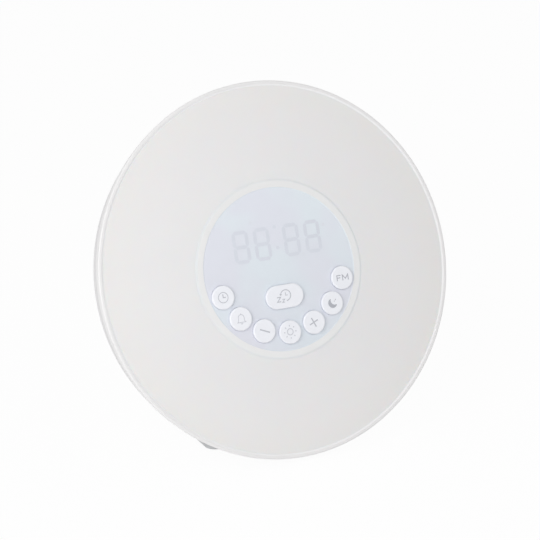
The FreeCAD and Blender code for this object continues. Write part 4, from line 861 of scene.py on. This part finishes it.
storey = (DIGIT_HEIGHT - DIGIT_STROKE) / 2
side = (DIGIT_WIDTH - DIGIT_STROKE) / 2
level = [(offset, step * storey, 0) for offset in DIGIT_OFFSETS for step in (-1, 0, 1)]
upright = [(offset + x * side, y * storey / 2, 90)
           for offset in DIGIT_OFFSETS for x in (-1, 1) for y in (-1, 1)]
on_window("digit_level_bars", level, 2 * side - MITRE_GAP, DIGIT_STROKE, BAR_CORNER, 1, DIGIT_GREY)
on_window("digit_upright_bars", upright, storey - MITRE_GAP, DIGIT_STROKE, BAR_CORNER, 1, DIGIT_GREY)
colon = [(-0.3, 6.8, 0), (-0.2, -2.6, 0)]
on_window("digit_dots", colon, DOT_SIZE, DOT_SIZE, DOT_CORNER, 5, DIGIT_GREY)
function_lamps = [(-11.7, 10.1, 0), (23.6, 4.5, 0), (11.8, -7.2, 0)]
on_window("function_dots", function_lamps, FAINT_SIZE, FAINT_SIZE, DOT_CORNER, 5, FAINT_GREY)

# %% [markdown]
# ## The back
#
# The back is plain: a speaker behind a field of holes, a round cell door, the
# power jack and the outlet of the aerial. Small mouldings make it read at a
# glance. Low rims frame the holes, the door, the jack and the outlet. An
# arrow beside the door shows which way it turns, and a mark above the jack
# tells the poles of its plug. Behind the holes a net keeps dust off the cone.

# %% Moulded rims
SPEAKER_PLACE = Vector((0, 24))
DOOR_PLACE = Vector((32, -18))
JACK_PLACE = Vector((-30, -24))
OUTLET_PLACE = Vector((-36, 14))
RIM_SINK = 0.2
# The middle, the radius, the width and the height of each rim.
RIMS = {
    "speaker_rim": (SPEAKER_PLACE, 15.2, 1.0, 0.35),
    "door_rim": (DOOR_PLACE, 14.1, 0.8, 0.30),
    "jack_rim": (JACK_PLACE, 5.6, 0.8, 0.30),
    "outlet_rim": (OUTLET_PLACE, 5.0, 0.7, 0.30),
}

for name, (middle, radius, width, height) in RIMS.items():
    rings_at(name, [middle], height, radius, width, height + RIM_SINK, WHITE_SHELL, place=ON_BACK,
             smooth=True)

# %% The net of the speaker
NET_RADIUS, NET_PITCH, NET_WIRE = 14.6, 0.6, 0.16
NET_DEPTH = -2.6
WIRE_LENGTH = 1.0

count = int(NET_RADIUS / NET_PITCH)
net = []
for step in range(-count, count + 1):
    away = step * NET_PITCH
    chord = 2 * math.sqrt(NET_RADIUS ** 2 - away ** 2)
    net.append((SPEAKER_PLACE.x, SPEAKER_PLACE.y + away, NET_DEPTH, 0, chord))
    net.append((SPEAKER_PLACE.x + away, SPEAKER_PLACE.y, NET_DEPTH - NET_WIRE, 90, chord))
wire = {"Length": WIRE_LENGTH, "Width": NET_WIRE, "Thickness": NET_WIRE, "Corner Share": 0.0,
        "Corner Steps": 1}
BARS.grow("speaker_net", net, wire, FINISHES["speaker_cone"], "clock", "speaker_cone", ON_BACK)

# %% The arrow by the door and the mark of the poles
RAISED = 0.18
RAISED_LINE = 0.7


def raised(name, lines, plates):
    """Raised marks on the back, made like the ones on the keys but thicker."""
    mesh = bmesh.new()
    for points, width, closed in lines:
        ribbon(mesh, points, width, RAISED, closed, RAISED + RIM_SINK)
    for points in plates:
        plate(mesh, points, RAISED, RAISED + RIM_SINK)
    return finished(name, mesh, RAISED_GREY, "clock", ON_BACK)


ARROW_RADIUS, ARROW_START, ARROW_STOP, ARROW_HEAD = 16.6, 60, 105, 7
ARROW_WING = 1.5
tip = math.radians(ARROW_STOP + ARROW_HEAD)
head = [DOOR_PLACE + (ARROW_RADIUS + reach) * Vector((math.cos(angle), math.sin(angle)))
        for reach, angle in ((-ARROW_WING, math.radians(ARROW_STOP)),
                             (ARROW_WING, math.radians(ARROW_STOP)), (0, tip))]
shaft = arc(DOOR_PLACE.x, DOOR_PLACE.y, ARROW_RADIUS, ARROW_START, ARROW_STOP, 24)
raised("door_arrow", [(shaft, RAISED_LINE, False)], [head])

pole = JACK_PLACE + Vector((0, 11))
POLE_DOT, POLE_RING, POLE_GAP, POLE_LINE = 0.7, 1.9, 40, 0.45
# From the middle of the mark: the leads to the right and the left, the plus
# as an upright and two short arms, and the minus.
POLE_LINES = (((0.9, 0), (4.2, 0)), ((-4.2, 0), (-2.2, 0)), ((5.4, -0.9), (5.4, 0.9)),
              ((4.5, 0), (5.15, 0)), ((5.65, 0), (6.3, 0)), ((-6.4, 0), (-4.7, 0)))
poles = [(arc(pole.x, pole.y, POLE_RING, POLE_GAP, 360 - POLE_GAP, 30), POLE_LINE, False)]
poles += [([(pole.x + x, pole.y + y) for x, y in ends], POLE_LINE, False) for ends in POLE_LINES]
raised("pole_mark", poles, [ring(pole.x, pole.y, POLE_DOT, 20)])

# %% [markdown]
# ## The studio
#
# The clock stands on a wide pale floor under soft light: the sky lights it
# from everywhere, a soft lamp at the left gives the face its slight fall
# from left to right, and a larger and weaker one, farther off, fills the other
# side. The background is white only to the camera, in reflections and through
# clear things, so it adds no diffuse light. Both the sky and the floor use the
# same share of rays.

# %% Rays that see the white background
def white_share(place):
    """1 for rays from the camera, glossy rays and rays through glass, and 0 for light."""
    rays = place.node("ShaderNodeLightPath", {}, {}).outputs
    seen = Number(place, rays["Is Camera Ray"]).larger(rays["Is Glossy Ray"])
    return seen.larger(rays["Is Transmission Ray"])


class Sky(Finish):
    """The world's nodes, made in the same way as a finish."""

    def __init__(self, level):
        world = bpy.data.worlds.new("studio_sky")
        world.use_nodes = True
        bpy.context.scene.world = world
        self.start(world.node_tree, "ShaderNodeOutputWorld")
        light, white = [self.node("ShaderNodeBackground", {}, {"Color": (1, 1, 1, 1), "Strength": strength})
                        for strength in (level, 1.0)]
        self.show(self.node("ShaderNodeMixShader", {}, {
            0: white_share(self), 1: light.outputs[0], 2: white.outputs[0]}).outputs[0])


SKY_LEVEL = 0.494
Sky(SKY_LEVEL)
print("sky level", SKY_LEVEL)

# %% The floor
FLOOR_SIZE = 6.0
FLOOR_WHITE = 0.96

floor_mesh = bmesh.new()
bmesh.ops.create_grid(floor_mesh, x_segments=16, y_segments=16, size=FLOOR_SIZE)
floor_data = bpy.data.meshes.new("floor")
floor_mesh.to_mesh(floor_data)
floor_mesh.free()
floor = bpy.data.objects.new("floor", floor_data)
bpy.context.collection.objects.link(floor)

FLOOR = Finish("studio_floor", **{"Roughness": 0.9, "Specular IOR Level": 0.1})
FLOOR.set("Base Color", FLOOR.mix(FLOOR.noise(120.0), paint(246, 246, 246), paint(250, 250, 250)))
glow = FLOOR.node("ShaderNodeEmission", {}, {"Color": (1, 1, 1, 1), "Strength": 1.0})
FLOOR.show(FLOOR.node("ShaderNodeMixShader", {}, {
    0: white_share(FLOOR) * FLOOR_WHITE, 1: FLOOR.shader.outputs[0], 2: glow.outputs[0]}).outputs[0])
floor_data.materials.append(FLOOR.material)
print("floor", FLOOR_SIZE * 2, "m wide")

# %% The lamps
# The place, the size, both in metres, and the power in watts of each lamp.
LAMPS = {
    "key_lamp": ((-0.60, -0.50, 0.45), 0.6, 3.65),
    "fill_lamp": ((1.3, -1.0, 1.5), 1.4, 3.2),
}


def lamp(name, place, size, power):
    """A square soft lamp aimed at the middle of the clock."""
    light = bpy.data.lights.new(name, "AREA")
    light.size = size
    light.energy = power
    holder = bpy.data.objects.new(name, light)
    bpy.context.collection.objects.link(holder)
    holder.location = place
    holder.rotation_euler = (MIDDLE - Vector(place)).to_track_quat("-Z", "Y").to_euler()
    print(name, power, "W at", round((Vector(place) - MIDDLE).length, 2), "m")


for name, (place, size, power) in LAMPS.items():
    lamp(name, place, size, power)

# %% [markdown]
# ## The camera
#
# The camera stands to the left of the clock, a little above it and far away,
# with a long lens, so the disc shows as a slightly narrowed ellipse and part
# of the rear shell looks out at its left. One vector is its place in metres,
# and the other one points backwards along its line of sight.

# %% Camera
CAMERA_PLACE = Vector((-0.386242, -0.837118, 0.402713))
CAMERA_BACK = Vector((-0.396748, -0.855988, 0.331474))
CAMERA_ROLL = math.radians(-0.67)
CAMERA_LENS = 143.55
SENSOR_WIDTH = 36
NEAREST, FARTHEST = 0.05, 60

view = bpy.data.cameras.new("camera")
view.lens = CAMERA_LENS
view.sensor_width = SENSOR_WIDTH
view.clip_start, view.clip_end = NEAREST, FARTHEST
camera = bpy.data.objects.new("camera", view)
bpy.context.collection.objects.link(camera)
camera.location = CAMERA_PLACE
camera.rotation_mode = "QUATERNION"
camera.rotation_quaternion = (-CAMERA_BACK).to_track_quat("-Z", "Y") @ Quaternion((0, 0, 1), CAMERA_ROLL)
bpy.context.scene.camera = camera
bpy.context.scene.view_settings.view_transform = "Standard"
bpy.context.view_layer.update()
print("camera right:", [round(value, 4) for value in camera.matrix_world.to_3x3().col[0]])
